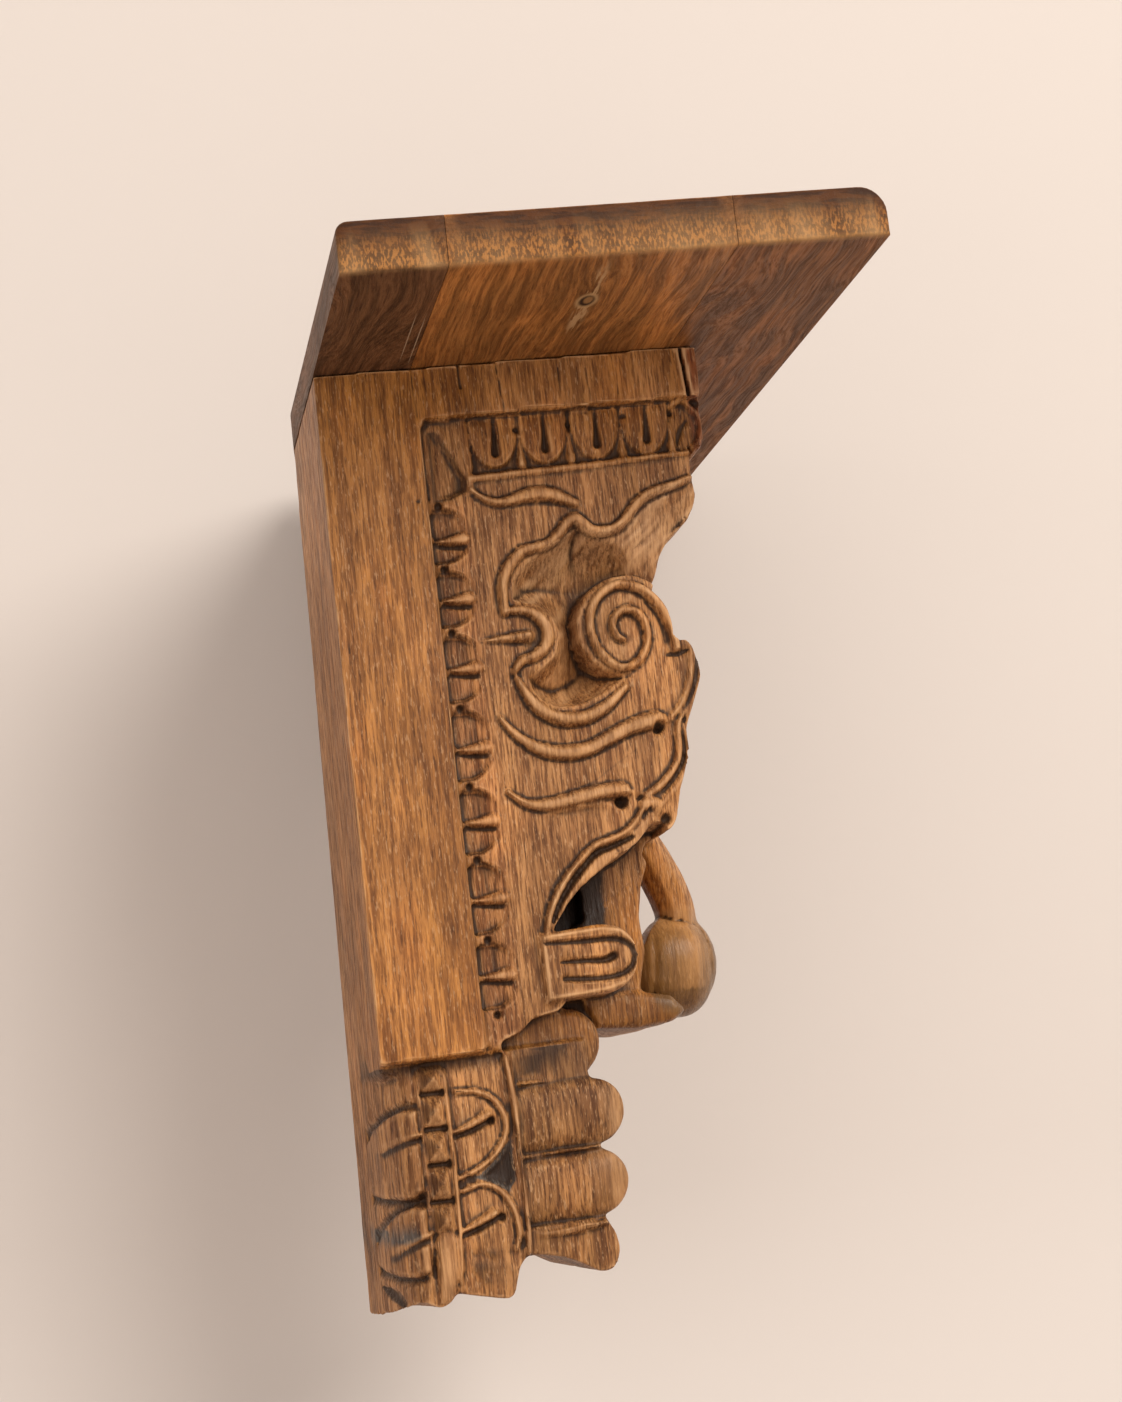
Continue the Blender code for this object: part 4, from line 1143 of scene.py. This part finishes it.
def fill(tree, value, socket):
    """Links an output to the socket, or sets the socket to a plain value."""
    if isinstance(value, bpy.types.NodeSocket):
        tree.links.new(value, socket)
    elif isinstance(value, (int, float)):
        socket.default_value = value
    else:
        socket.default_value = (*value[:3], 1.0)


def combine(tree, kind, first, second):
    node = add_node(tree, "ShaderNodeMath", operation=kind)
    fill(tree, first, node.inputs[0])
    fill(tree, second, node.inputs[1])
    return node.outputs[0]


def times(tree, first, second):
    return combine(tree, "MULTIPLY", first, second)


def plus(tree, first, second):
    return combine(tree, "ADD", first, second)


def tinted(tree, share, colour, tint):
    """The colour multiplied by a tint, by the share."""
    return blend_colour(tree, share, colour, tint, "MULTIPLY")


def near_spot(tree, coordinate, place, half_lengths):
    """1 at a place and 0 beyond an oval round it, whose half lengths are given on each axis."""
    away = add_node(tree, "ShaderNodeVectorMath", operation="SUBTRACT")
    tree.links.new(coordinate, away.inputs[0])
    away.inputs[1].default_value = place
    shares = add_node(tree, "ShaderNodeVectorMath", operation="DIVIDE")
    tree.links.new(away.outputs[0], shares.inputs[0])
    shares.inputs[1].default_value = half_lengths
    length = add_node(tree, "ShaderNodeVectorMath", operation="LENGTH")
    tree.links.new(shares.outputs[0], length.inputs[0])
    return stretch(tree, length.outputs["Value"], 0.55, 1.0, 1.0, 0.0)


def corbel_wood(settings):
    """Old wood with its grain upright: painted tone, streaks, dirt and painted shade in hollows, and rubbed
    edges with painted highlights.
    """
    material, tree, shader = new_material("old_carved_wood")
    coordinate = add_node(tree, "ShaderNodeTexCoord").outputs["Object"]
    tone = add_node(tree, "ShaderNodeAttribute", attribute_name="tone").outputs["Color"]
    dirt_and_shade_share = add_node(tree, "ShaderNodeAttribute", attribute_name="dirt_and_shade_share").outputs["Fac"]
    rubbed = add_node(tree, "ShaderNodeAttribute", attribute_name="rubbed").outputs["Fac"]
    gloss = add_node(tree, "ShaderNodeAttribute", attribute_name="burnish").outputs["Fac"]
    streaks = grain_noise(tree, coordinate, (720, 240, 48), 4)
    bands = grain_noise(tree, coordinate, (150, 60, 7), 4, (4, 1, 2))
    patches = grain_noise(tree, coordinate, (34, 30, 13), 4, (1, 7, 3))
    pores = grain_noise(tree, coordinate, (1300, 420, 110), 2, (3, 2, 9))
    flecks = grain_noise(tree, coordinate, (900, 320, 210), 2, (9, 5, 1))
    calm = stretch(tree, rubbed, 0.05, 0.7, 1.0, 0.25)
    calm = times(tree, calm, stretch(tree, gloss, 0.0, 1.0, 1.0, 0.4))
    streaked = times(tree, stretch(tree, streaks, 0.42, 0.60, 0.0, 0.9), calm)
    colour = tinted(tree, streaked, tone, (0.40, 0.33, 0.30))
    banded = times(tree, stretch(tree, bands, 0.42, 0.62, 0.0, 0.62), calm)
    colour = tinted(tree, banded, colour, (0.46, 0.37, 0.32))
    stained = stretch(tree, patches, 0.32, 0.50, 0.55, 0.0)
    colour = tinted(tree, stained, colour, (0.55, 0.46, 0.40))
    colour = tinted(tree, stretch(tree, patches, 0.48, 0.68, 0.0, 0.55), colour, (1.5, 1.42, 1.3))
    pored = times(tree, stretch(tree, pores, 0.54, 0.66, 0.0, 0.75), calm)
    colour = tinted(tree, pored, colour, (0.30, 0.24, 0.20))
    flecked = times(tree, stretch(tree, flecks, 0.56, 0.70, 0.0, 0.42), calm)
    colour = blend_colour(tree, flecked, colour, settings.pale)
    worn_and_highlight = times(tree, rubbed, stretch(tree, streaks, 0.36, 0.66, 1.0, 0.7))
    colour = blend_colour(tree, stretch(tree, worn_and_highlight, 0.08, 0.85, 0.0, 0.8), colour, settings.pale)
    colour = blend_colour(tree, stretch(tree, dirt_and_shade_share, 0.05, 0.95, 0.0, 0.93), colour, settings.dark)
    tree.links.new(colour, shader.inputs["Base Color"])
    rough = stretch(tree, streaks, 0.3, 0.7, 0.45, 0.66)
    tree.links.new(combine(tree, "SUBTRACT", rough, times(tree, gloss, 0.24)), shader.inputs["Roughness"])
    grain = plus(tree, times(tree, streaks, -0.8), times(tree, pores, -0.45))
    grain = plus(tree, grain, times(tree, bands, -0.8))
    grain = times(tree, plus(tree, grain, times(tree, flecks, 0.4)), calm)
    bump = add_node(tree, "ShaderNodeBump")
    bump.inputs["Strength"].default_value = 0.85
    bump.inputs["Distance"].default_value = 0.0012
    tree.links.new(grain, bump.inputs["Height"])
    tree.links.new(bump.outputs["Normal"], shader.inputs["Normal"])
    shader.inputs["Specular IOR Level"].default_value = 0.22
    return material


def shelf_wood(name, colour, figure, offset):
    """Board wood with its grain along the shelf: growth bands, streaks and a sawn end."""
    material, tree, shader = new_material(name)
    coordinate = add_node(tree, "ShaderNodeTexCoord").outputs["Object"]
    warp = grain_noise(tree, coordinate, (14, 5, 14), 2, offset)
    spread = add_node(tree, "ShaderNodeCombineXYZ")
    tree.links.new(warp, spread.inputs["X"])
    tree.links.new(warp, spread.inputs["Z"])
    shifted = add_node(tree, "ShaderNodeVectorMath", operation="MULTIPLY_ADD")
    tree.links.new(spread.outputs["Vector"], shifted.inputs[0])
    shifted.inputs[1].default_value = (0.05 * figure, 0.0, 0.05 * figure)
    tree.links.new(coordinate, shifted.inputs[2])
    curved = shifted.outputs["Vector"]
    bands = grain_noise(tree, curved, (170, 6, 90), 4, offset)
    streaks = grain_noise(tree, curved, (600, 22, 600), 5, offset)
    pores = grain_noise(tree, coordinate, (1500, 110, 1500), 2, offset)
    patches = grain_noise(tree, coordinate, (26, 12, 26), 3, offset)
    end_face = add_node(tree, "ShaderNodeAttribute", attribute_name="end_face").outputs["Fac"]
    rubbed = add_node(tree, "ShaderNodeAttribute", attribute_name="rubbed").outputs["Fac"]
    dull = [share * 0.40 for share in colour]
    shade = blend_colour(tree, stretch(tree, bands, 0.40, 0.60, 0.0, 0.75), colour, dull)
    shade = tinted(tree, stretch(tree, streaks, 0.42, 0.62, 0.0, 0.62), shade, (0.45, 0.37, 0.33))
    shade = tinted(tree, stretch(tree, patches, 0.46, 0.68, 0.0, 0.6), shade, (1.6, 1.5, 1.35))
    shade = tinted(tree, stretch(tree, pores, 0.54, 0.66, 0.0, 0.55), shade, (0.35, 0.28, 0.24))
    shade = dress_end(tree, coordinate, shade, end_face)
    if name == "middle_strip_wood":
        shade = add_knot(tree, coordinate, shade)
    if name == "back_strip_wood":
        shade = add_glue(tree, coordinate, shade)
    shade = blend_colour(tree, times(tree, rubbed, 0.75), shade, SCRAPED)
    tree.links.new(shade, shader.inputs["Base Color"])
    tree.links.new(stretch(tree, streaks, 0.3, 0.7, 0.42, 0.62), shader.inputs["Roughness"])
    grain = plus(tree, times(tree, streaks, -0.7), times(tree, pores, -0.4))
    bump = add_node(tree, "ShaderNodeBump")
    bump.inputs["Strength"].default_value = 0.6
    bump.inputs["Distance"].default_value = 0.0009
    tree.links.new(grain, bump.inputs["Height"])
    tree.links.new(bump.outputs["Normal"], shader.inputs["Normal"])
    shader.inputs["Specular IOR Level"].default_value = 0.12
    return material


def dress_end(tree, coordinate, shade, end_face):
    """The sawn end: dark growth rings above, golden saw strokes along its lower half."""
    rings = grain_noise(tree, coordinate, (60, 1, 420), 3, (2, 0, 5))
    saw = grain_noise(tree, coordinate, (800, 1, 300), 3, (7, 0, 1))
    axes = add_node(tree, "ShaderNodeSeparateXYZ")
    tree.links.new(coordinate, axes.inputs[0])
    above = combine(tree, "SUBTRACT", axes.outputs["Z"], times(tree, axes.outputs["X"], RISE_TO_FRONT))
    underside = TOP_ABOVE_ORIGIN * TO_METRES
    height = stretch(tree, above, underside + 0.004, underside + 0.021, 1.0, 0.0)
    end = blend_colour(tree, stretch(tree, rings, 0.40, 0.60, 0.0, 1.0), END_BROWN, END_DARK)
    golden = times(tree, height, stretch(tree, saw, 0.46, 0.58, 0.1, 1.0))
    end = blend_colour(tree, golden, end, END_GOLDEN)
    return blend_colour(tree, end_face, shade, end)


def add_knot(tree, coordinate, shade):
    """A dark knot on the underside with a pale split running out of it along the grain."""
    streak = near_spot(tree, coordinate, KNOT_AT, (0.0055, 0.062, 0.02))
    torn = grain_noise(tree, coordinate, (420, 40, 420), 3, (3, 3, 3))
    streak = times(tree, streak, stretch(tree, torn, 0.44, 0.56, 0.0, 0.85))
    shade = blend_colour(tree, streak, shade, (0.42, 0.25, 0.12))
    inner = (KNOT_AT[0] + 0.0006, KNOT_AT[1] - 0.001, KNOT_AT[2])
    rings = (
        (KNOT_AT, (0.0072, 0.0125, 0.02), (0.40, 0.24, 0.11)),
        (KNOT_AT, (0.0052, 0.0095, 0.02), (0.03, 0.014, 0.007)),
        (inner, (0.0030, 0.0060, 0.02), (0.24, 0.12, 0.045)),
    )
    for place, half_lengths, colour in rings:
        shade = blend_colour(tree, near_spot(tree, coordinate, place, half_lengths), shade, colour)
    return shade


def add_glue(tree, coordinate, shade):
    """Thin pale glue scratches beside the seam on the underside."""
    for place, reach in GLUE_LINES:
        line = near_spot(tree, coordinate, place, (0.00035, reach, 0.006))
        shade = blend_colour(tree, times(tree, line, 0.7), shade, (0.42, 0.30, 0.20))
    return shade


def paint_corbel(piece, settings, panel_relief, foot_relief, marks):
    """Stores tone, dirt and painted shade, rubbed edges and painted highlights, and polish for the corbel's
    material.
    """
    points = points_of(piece)
    normals = normals_of(piece)
    x, depth, z = corbel_places(points)
    seen_x, seen_z = as_seen(x, z, np.clip(depth, 0, 40))
    near_hollow = hollow_share(piece, 5, 0.0004)
    wide_hollow = hollow_share(piece, 40, 0.0018)
    blotch = lattice_noise(points / np.array([0.02, 0.02, 0.045]), 31)
    fine = lattice_noise(points / np.array([0.0035, 0.0035, 0.02]), 32)
    drawn_x, drawn_z = as_seen(x, z, FIELD_DEPTH)
    panel = on_panel(drawn_x, drawn_z) & (depth < 60)
    foot = z < -PLANK_LENGTH - 1
    front = normals[:, 0] > 0.4
    brown_share = np.where(panel, 0.95, np.where(foot, 0.8, 0.05))
    brown_share = np.where(~panel & ~foot & (z > -BAND_HEIGHT) & (x > 60), 0.45 + 0.4 * blotch, brown_share)
    brown_share = np.where(front | (depth > 100), 0.85, brown_share)
    top_border = panel & (drawn_z > -62) & (drawn_x > 76)
    brown_share = np.where(top_border, 0.25, brown_share)
    brown_share = np.clip(brown_share + 0.22 * blotch + 0.10 * fine, 0, 1)[:, None]
    tone = np.array(settings.golden) * (1 - brown_share) + np.array(settings.brown) * brown_share
    tone = tone * (1.0 + 0.14 * blotch + 0.10 * fine)[:, None]
    red = soft_step(-np.abs(seen_x - 65) + 10, 0, 3) * panel * (seen_z < -75) * 0.2
    tone = tone * (1 - red[:, None]) + tone * np.array([1.12, 0.80, 0.70]) * red[:, None]
    lower_frame = ~panel & ~foot & (depth < 5)
    tone *= 1 + 0.26 * (lower_frame * soft_step(-z, 230, 350))[:, None]
    tone *= 1 - 0.26 * (foot * soft_step(x, 64, 70) * (z < ROLLS[0][0]))[:, None]
    slip = soft_step(seen_x, 199, 201) * (seen_z > -60) * (depth < 60)
    tone = tone * (1 - slip[:, None]) + np.array(RED_SLIP) * slip[:, None]
    leaf = panel & inside(drawn_x, drawn_z, LEAF_FACE)
    across_leaf = (drawn_x * LEAF_LEAN[0] - drawn_z * LEAF_LEAN[1]) / 2.2
    along_leaf = (drawn_x * LEAF_LEAN[1] + drawn_z * LEAF_LEAN[0]) / 30
    stripes = lattice_noise(np.stack([across_leaf, along_leaf], 1), 33)
    to_scroll = np.hypot(drawn_x - SCROLL_MIDDLE[0], drawn_z - SCROLL_MIDDLE[1])
    paler = np.clip(leaf * soft_step(to_scroll, 30, 52) * (0.45 + 0.4 * stripes), 0, 1)[:, None]
    tone = tone * (1 - paler) + np.array(settings.pale) * paler
    bud = soft_step(-np.hypot(x - 172, z + 326), -34, -27) * (x > 150)
    tone *= 1 - bud[:, None] * (np.array([0.34, 0.24, 0.0]) - 0.22 * blotch[:, None])
    grey = foot & inside(drawn_x, drawn_z, FOOT_HOLLOW)
    grey |= np.hypot((drawn_x - 3) / 9, (drawn_z + 444) / 4) < 1
    tone = np.where(grey[:, None], np.array(OLD_GREY), tone)
    # Painted shade: the deep pit behind the crescent is painted nearly black.
    pit_x, pit_z = as_seen(x, z, depth)
    in_pit = (depth > 12) & (depth < 70) & (pit_x < PIT_RIGHT + 2) & (pit_x > 90)
    in_pit &= (pit_z < -262) & (pit_z > -309)
    tone = np.where(in_pit[:, None], tone * 0.1, tone)
    store_colour(piece, "tone", np.clip(tone, 0, 1))
    drawn_dirt_and_shade = np.where(panel, panel_relief.sample(panel_relief.dirt_and_shade, drawn_x, drawn_z), 0)
    drawn_wear_and_highlight = np.where(panel, panel_relief.sample(panel_relief.rub, drawn_x, drawn_z), 0)
    wrapped = foot & (x < ROUND_WIDTH) & (depth < ROUND_DEPTH)
    low_face = foot & (depth < 24) | wrapped
    foot_x, foot_z = as_seen(x, z, np.where(wrapped, depth, FOOT_DEPTH))
    drawn_dirt_and_shade = np.where(low_face, foot_relief.sample(foot_relief.dirt_and_shade, foot_x, foot_z), drawn_dirt_and_shade)
    drawn_wear_and_highlight = np.where(low_face, foot_relief.sample(foot_relief.rub, foot_x, foot_z), drawn_wear_and_highlight)
    plain = ~panel & ~foot & (depth < 5)
    drawn_dirt_and_shade = np.where(plain, marks.sample(marks.dirt_and_shade, x, z), drawn_dirt_and_shade)
    drawn_wear_and_highlight = np.where(plain, marks.sample(marks.rub, x, z), drawn_wear_and_highlight)
    # Dirt and painted shade: darker in the hollows that the mesh's curvature finds.
    shaded = np.clip(near_hollow * 0.8 + np.clip(wide_hollow, 0, 1) * 0.7 - 0.08, 0, 1)
    # Painted shadow of the plank's end on the recess above the rolls.
    shadow_under_plank = (depth > 14) & (depth < 60) & (z < -340) & (z > -381) & (x > 60)
    dirt_and_shade_share = np.maximum(shaded, drawn_dirt_and_shade)
    dirt_and_shade_share = np.maximum(dirt_and_shade_share, in_pit * 1.0)
    dirt_and_shade_share = np.clip(np.maximum(dirt_and_shade_share, shadow_under_plank * (0.42 + 0.3 * blotch)), 0, 1)
    store(piece, "dirt_and_shade_share", dirt_and_shade_share)
    rubbed = np.clip(-near_hollow * 0.85 - 0.12 + 0.12 * fine, 0, 1) * np.where(depth < 60, 1.0, 0.6)
    rubbed = np.maximum(rubbed, drawn_wear_and_highlight * (0.62 + 0.3 * fine))
    rubbed = np.maximum(rubbed, bud * (0.16 + 0.2 * blotch))
    hollow = panel & inside(drawn_x, drawn_z, SCOOP)
    rubbed = np.where(leaf | hollow, np.maximum(rubbed * 0.5, 0.30 + 0.25 * stripes), rubbed)
    # The rubbed edges also carry the painted highlight on the pyramids' lower facets.
    store(piece, "rubbed", np.clip(rubbed * (1 - dirt_and_shade_share), 0, 1))
    roll_end = soft_step(x, 98, 106) * (z < -412) * (z > -452)
    store(piece, "burnish", np.clip(bud + 0.6 * roll_end + 0.35 * (~panel & ~foot), 0, 1))


# Operators


class BRACKET_OT_corbel(bpy.types.Operator):
    """Carves the old corbel from a copy of its solid."""

    bl_idname = "bracket.corbel"
    bl_label = "Carved corbel"

    def execute(self, context):
        settings = context.scene.bracket_corbel
        piece = copy_of_node("carved_corbel", "corbel")
        remesh(piece, settings.coarse_voxel)
        panel, foot, marks = draw_panel(), draw_foot(), draw_marks()
        carve_panel(piece, panel)
        carve_foot(piece, foot)
        swell_bud(piece)
        remesh(piece, settings.fine_voxel)
        mark_frame(piece, marks)
        relax(piece, 0.5, 2)
        wear(piece, settings.arris_wear)
        limit_to_box(piece, "carved_corbel")
        paint_corbel(piece, settings, panel, foot, marks)
        thin_out(piece, settings.triangles)
        smooth_shaded(piece, math.radians(80))
        piece.data.materials.append(corbel_wood(settings))
        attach(piece, "root")
        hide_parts("carved_corbel")
        return {"FINISHED"}


def seams_of(node, low, high):
    """Where the strip is glued to its neighbours, so that these edges stay sharp."""
    seams = {
        "shelf_board_back": (high.x,),
        "shelf_board_middle": (low.x, high.x),
        "shelf_board_front": (low.x,),
    }
    return seams[node]


def select_edges(piece, end, seams):
    """Selects the arrises of one end face, apart from those at a glued seam."""
    bm = bmesh.from_edit_mesh(piece.data)
    bm.select_mode = {"EDGE"}
    for face in bm.faces:
        face.select = False
    for edge in bm.edges:
        at_end = all(abs(vert.co.y - end) < 1e-5 for vert in edge.verts)
        at_seam = any(all(abs(vert.co.x - seam) < 1e-4 for vert in edge.verts) for seam in seams)
        edge.select = at_end and not at_seam and edge.is_manifold and edge.calc_face_angle(0) > 0.5
    bm.select_flush_mode()
    bmesh.update_edit_mesh(piece.data)


def cut_across(places, axis):
    """Cuts the mesh by planes at those places along an axis, so that its faces can wear unevenly."""
    normal = Vector((0, 0, 0))
    normal[axis] = 1.0
    for place in places:
        bpy.ops.mesh.select_all(action="SELECT")
        spot = Vector((0, 0, 0))
        spot[axis] = place
        bpy.ops.mesh.bisect(plane_co=spot, plane_no=normal)


def dress_strip(node, name, settings, colour, figure, offset):
    """A strip of the board: a copy of its solid with worn ends and its own wood."""
    piece = copy_of_node(node, name)
    low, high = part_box(node)
    bpy.ops.object.mode_set(mode="EDIT")
    bpy.ops.mesh.select_all(action="SELECT")
    bpy.ops.mesh.dissolve_limited(angle_limit=math.radians(1))
    for end in (low.y, high.y):
        select_edges(piece, end, seams_of(node, low, high))
        bpy.ops.mesh.bevel(offset=settings.end_wear, segments=4, profile=0.5)
    cut_across(np.arange(low.y + 0.006, high.y - 0.004, 0.008), 1)
    cut_across(np.arange(low.x + 0.007, high.x - 0.005, 0.009), 0)
    bpy.ops.object.mode_set(mode="OBJECT")
    points = points_of(piece)
    normals = normals_of(piece)
    seam = np.minimum(points[:, 0] - low.x, high.x - points[:, 0])
    inner = soft_step(seam, 0.0004, 0.003)
    end = soft_step(low.y + 0.004 - points[:, 1], 0, 0.004)
    dents = lattice_noise(points / 0.007, 41) * 0.00025 * end + lattice_noise(points / 0.03, 42) * 0.00012
    points -= normals * ((np.abs(dents) + 0.00005) * inner)[:, None]
    set_points(piece, points)
    paint_strip(piece, low)
    smooth_shaded(piece, math.radians(35))
    piece.data.materials.append(shelf_wood(name + "_wood", colour, figure, offset))
    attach(piece, "root")
    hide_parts(node)
    return piece


def paint_strip(piece, low):
    """Stores the end face and the rubbed arrises for the board's materials."""
    points = points_of(piece)
    normals = normals_of(piece)
    store(piece, "end_face", soft_step(-normals[:, 1], 0.55, 0.85))
    chips = lattice_noise(points / 0.006, 51)
    underside = points[:, 2] - TOP_ABOVE_ORIGIN * TO_METRES - RISE_TO_FRONT * points[:, 0]
    arris = soft_step(low.y + 0.0030 - points[:, 1], 0, 0.0012) * soft_step(0.0030 - underside, 0, 0.0012)
    store(piece, "rubbed", np.clip(arris * (0.55 + 0.5 * chips), 0, 1))


class BRACKET_OT_shelf(bpy.types.Operator):
    """Dresses the three strips of the shelf board."""

    bl_idname = "bracket.shelf"
    bl_label = "Shelf board"

    def execute(self, context):
        settings = context.scene.bracket_shelf
        strips = (
            ("shelf_board_back", "back_strip", settings.back, 1.6, (1.0, 2.0, 3.0), "shelf_back_wood"),
            ("shelf_board_middle", "middle_strip", settings.middle, 0.8, (5.0, 1.0, 7.0), "shelf_middle_wood"),
            ("shelf_board_front", "front_strip", settings.front, 1.0, (8.0, 6.0, 2.0), "shelf_front_wood"),
        )
        for node, name, colour, figure, offset, slot in strips:
            piece = dress_strip(node, name, settings, tuple(colour), figure, offset)
        return {"FINISHED"}


CAMERA_PLACE = Vector((-0.13943, -1.25390, -0.16187))
CAMERA_RIGHT = Vector((0.9762, -0.1858, -0.1121))
CAMERA_DOWN = Vector((-0.0750, 0.1960, -0.9777))
CAMERA_FORWARD = Vector((0.2037, 0.9628, 0.1774))
CAMERA_LENS = 61.05
FLOOR_DROP = 0.30
WALL_AWAY = 0.235
FLOOR_BEND = 0.35
AMBIENT_COLOUR = (1.0, 0.93, 0.87, 1.0)
LIGHTS = (
    ("key", (2.3, -3.6, 2.2), 3.0, (1.0, 0.96, 0.90)),
    ("fill", (-1.1, -1.5, -0.1), 1.3, (1.0, 0.95, 0.90)),
    ("low", (0.3, -0.9, -0.85), 0.8, (1.0, 0.93, 0.86)),
)
LIGHTS_AIM = (0.08, 0.0, 0.0)
FLOOR_SIZE = 6.0
WALL_HEIGHT = 4.0


class BRACKET_OT_stage(bpy.types.Operator):
    """Makes the camera, the soft lights and a plain pale floor that curves up to a wall."""

    bl_idname = "bracket.stage"
    bl_label = "Stage"

    def execute(self, context):
        settings = context.scene.bracket_stage
        self.add_camera(context)
        self.add_floor(settings)
        powers = {"key": settings.key_power, "fill": settings.fill_power, "low": settings.fill_power}
        for name, place, size, colour in LIGHTS:
            self.add_light(name, place, size, powers[name], colour)
        context.scene.view_settings.view_transform = "Standard"
        world = bpy.data.worlds.new("studio")
        world.use_nodes = True
        background = world.node_tree.nodes["Background"]
        background.inputs["Color"].default_value = AMBIENT_COLOUR
        background.inputs["Strength"].default_value = settings.ambient
        context.scene.world = world
        return {"FINISHED"}

    def add_camera(self, context):
        camera = bpy.data.objects.new("camera", bpy.data.cameras.new("camera"))
        context.scene.collection.objects.link(camera)
        turn = Matrix((CAMERA_RIGHT, -CAMERA_DOWN, -CAMERA_FORWARD)).transposed().to_4x4()
        turn.translation = CAMERA_PLACE
        camera.matrix_world = turn
        camera.data.sensor_width = 36.0
        camera.data.lens = CAMERA_LENS
        camera.data.clip_start = 0.01
        context.scene.camera = camera

    def add_floor(self, settings):
        deselect_all()
        level = CAD_BOX[0].z - FLOOR_DROP
        bpy.ops.mesh.primitive_plane_add(size=FLOOR_SIZE, location=(0, WALL_AWAY - FLOOR_SIZE / 2, level))
        floor = bpy.context.active_object
        floor.name = "floor"
        bpy.ops.object.mode_set(mode="EDIT")
        select_back_edge(floor)
        bpy.ops.mesh.extrude_region_move(TRANSFORM_OT_translate={"value": (0, 0, WALL_HEIGHT)})
        bpy.ops.object.mode_set(mode="OBJECT")
        bpy.ops.object.transform_apply(location=True, rotation=True, scale=True)
        bevel = floor.modifiers.new("Bevel", "BEVEL")
        bevel.width = FLOOR_BEND
        bevel.segments = 16
        bpy.ops.object.modifier_apply(modifier=bevel.name)
        bpy.ops.object.shade_smooth()
        material, tree, shader = new_material("pale_floor")
        shader.inputs["Base Color"].default_value = (*settings.floor, 1.0)
        shader.inputs["Roughness"].default_value = 0.9
        shader.inputs["Specular IOR Level"].default_value = 0.1
        one_sided(tree, shader)
        floor.data.materials.append(material)

    def add_light(self, name, place, size, power, colour):
        data = bpy.data.lights.new(name, "AREA")
        data.shape = "DISK"
        data.size = size
        data.energy = power
        data.color = colour
        light = bpy.data.objects.new(name, data)
        bpy.context.scene.collection.objects.link(light)
        light.location = place
        aim = Vector(LIGHTS_AIM) - Vector(place)
        light.rotation_euler = aim.to_track_quat("-Z", "Y").to_euler()


def one_sided(tree, shader):
    """Leaves the back of the floor and its wall clear, so that the bracket shows from behind too."""
    mix = add_node(tree, "ShaderNodeMixShader")
    tree.links.new(add_node(tree, "ShaderNodeNewGeometry").outputs["Backfacing"], mix.inputs["Fac"])
    tree.links.new(shader.outputs["BSDF"], mix.inputs[1])
    tree.links.new(add_node(tree, "ShaderNodeBsdfTransparent").outputs["BSDF"], mix.inputs[2])
    tree.links.new(mix.outputs["Shader"], tree.nodes["Material Output"].inputs["Surface"])


def select_back_edge(floor):
    """Selects the floor's edge that is farthest back."""
    bm = bmesh.from_edit_mesh(floor.data)
    bm.select_mode = {"EDGE"}
    back = max(vert.co.y for vert in bm.verts)
    for face in bm.faces:
        face.select = False
    for edge in bm.edges:
        edge.select = all(vert.co.y > back - 0.001 for vert in edge.verts)
    bm.select_flush_mode()
    bmesh.update_edit_mesh(floor.data)


class BRACKET_PT_panel(bpy.types.Panel):
    """Lists the bracket's pieces and settings in the sidebar."""

    bl_idname = "BRACKET_PT_panel"
    bl_label = "Carved wall bracket"
    bl_space_type = "VIEW_3D"
    bl_region_type = "UI"
    bl_category = "Bracket"

    def draw(self, context):
        for operator, settings in (
            ("bracket.stage", context.scene.bracket_stage),
            ("bracket.corbel", context.scene.bracket_corbel),
            ("bracket.shelf", context.scene.bracket_shelf),
        ):
            box = self.layout.box()
            box.operator(operator)
            for name in settings.__annotations__:
                box.prop(settings, name)


CLASSES = (
    CorbelSettings,
    ShelfSettings,
    StageSettings,
    BRACKET_OT_corbel,
    BRACKET_OT_shelf,
    BRACKET_OT_stage,
    BRACKET_PT_panel,
)


def register():
    for made in CLASSES:
        bpy.utils.register_class(made)
    bpy.types.Scene.bracket_corbel = PointerProperty(type=CorbelSettings)
    bpy.types.Scene.bracket_shelf = PointerProperty(type=ShelfSettings)
    bpy.types.Scene.bracket_stage = PointerProperty(type=StageSettings)


def unregister():
    del bpy.types.Scene.bracket_stage
    del bpy.types.Scene.bracket_shelf
    del bpy.types.Scene.bracket_corbel
    for made in reversed(CLASSES):
        bpy.utils.unregister_class(made)


def main():
    register()
    bpy.ops.bracket.stage()
    bpy.ops.bracket.corbel()
    bpy.ops.bracket.shelf()


if __name__ == "__main__":
    main()
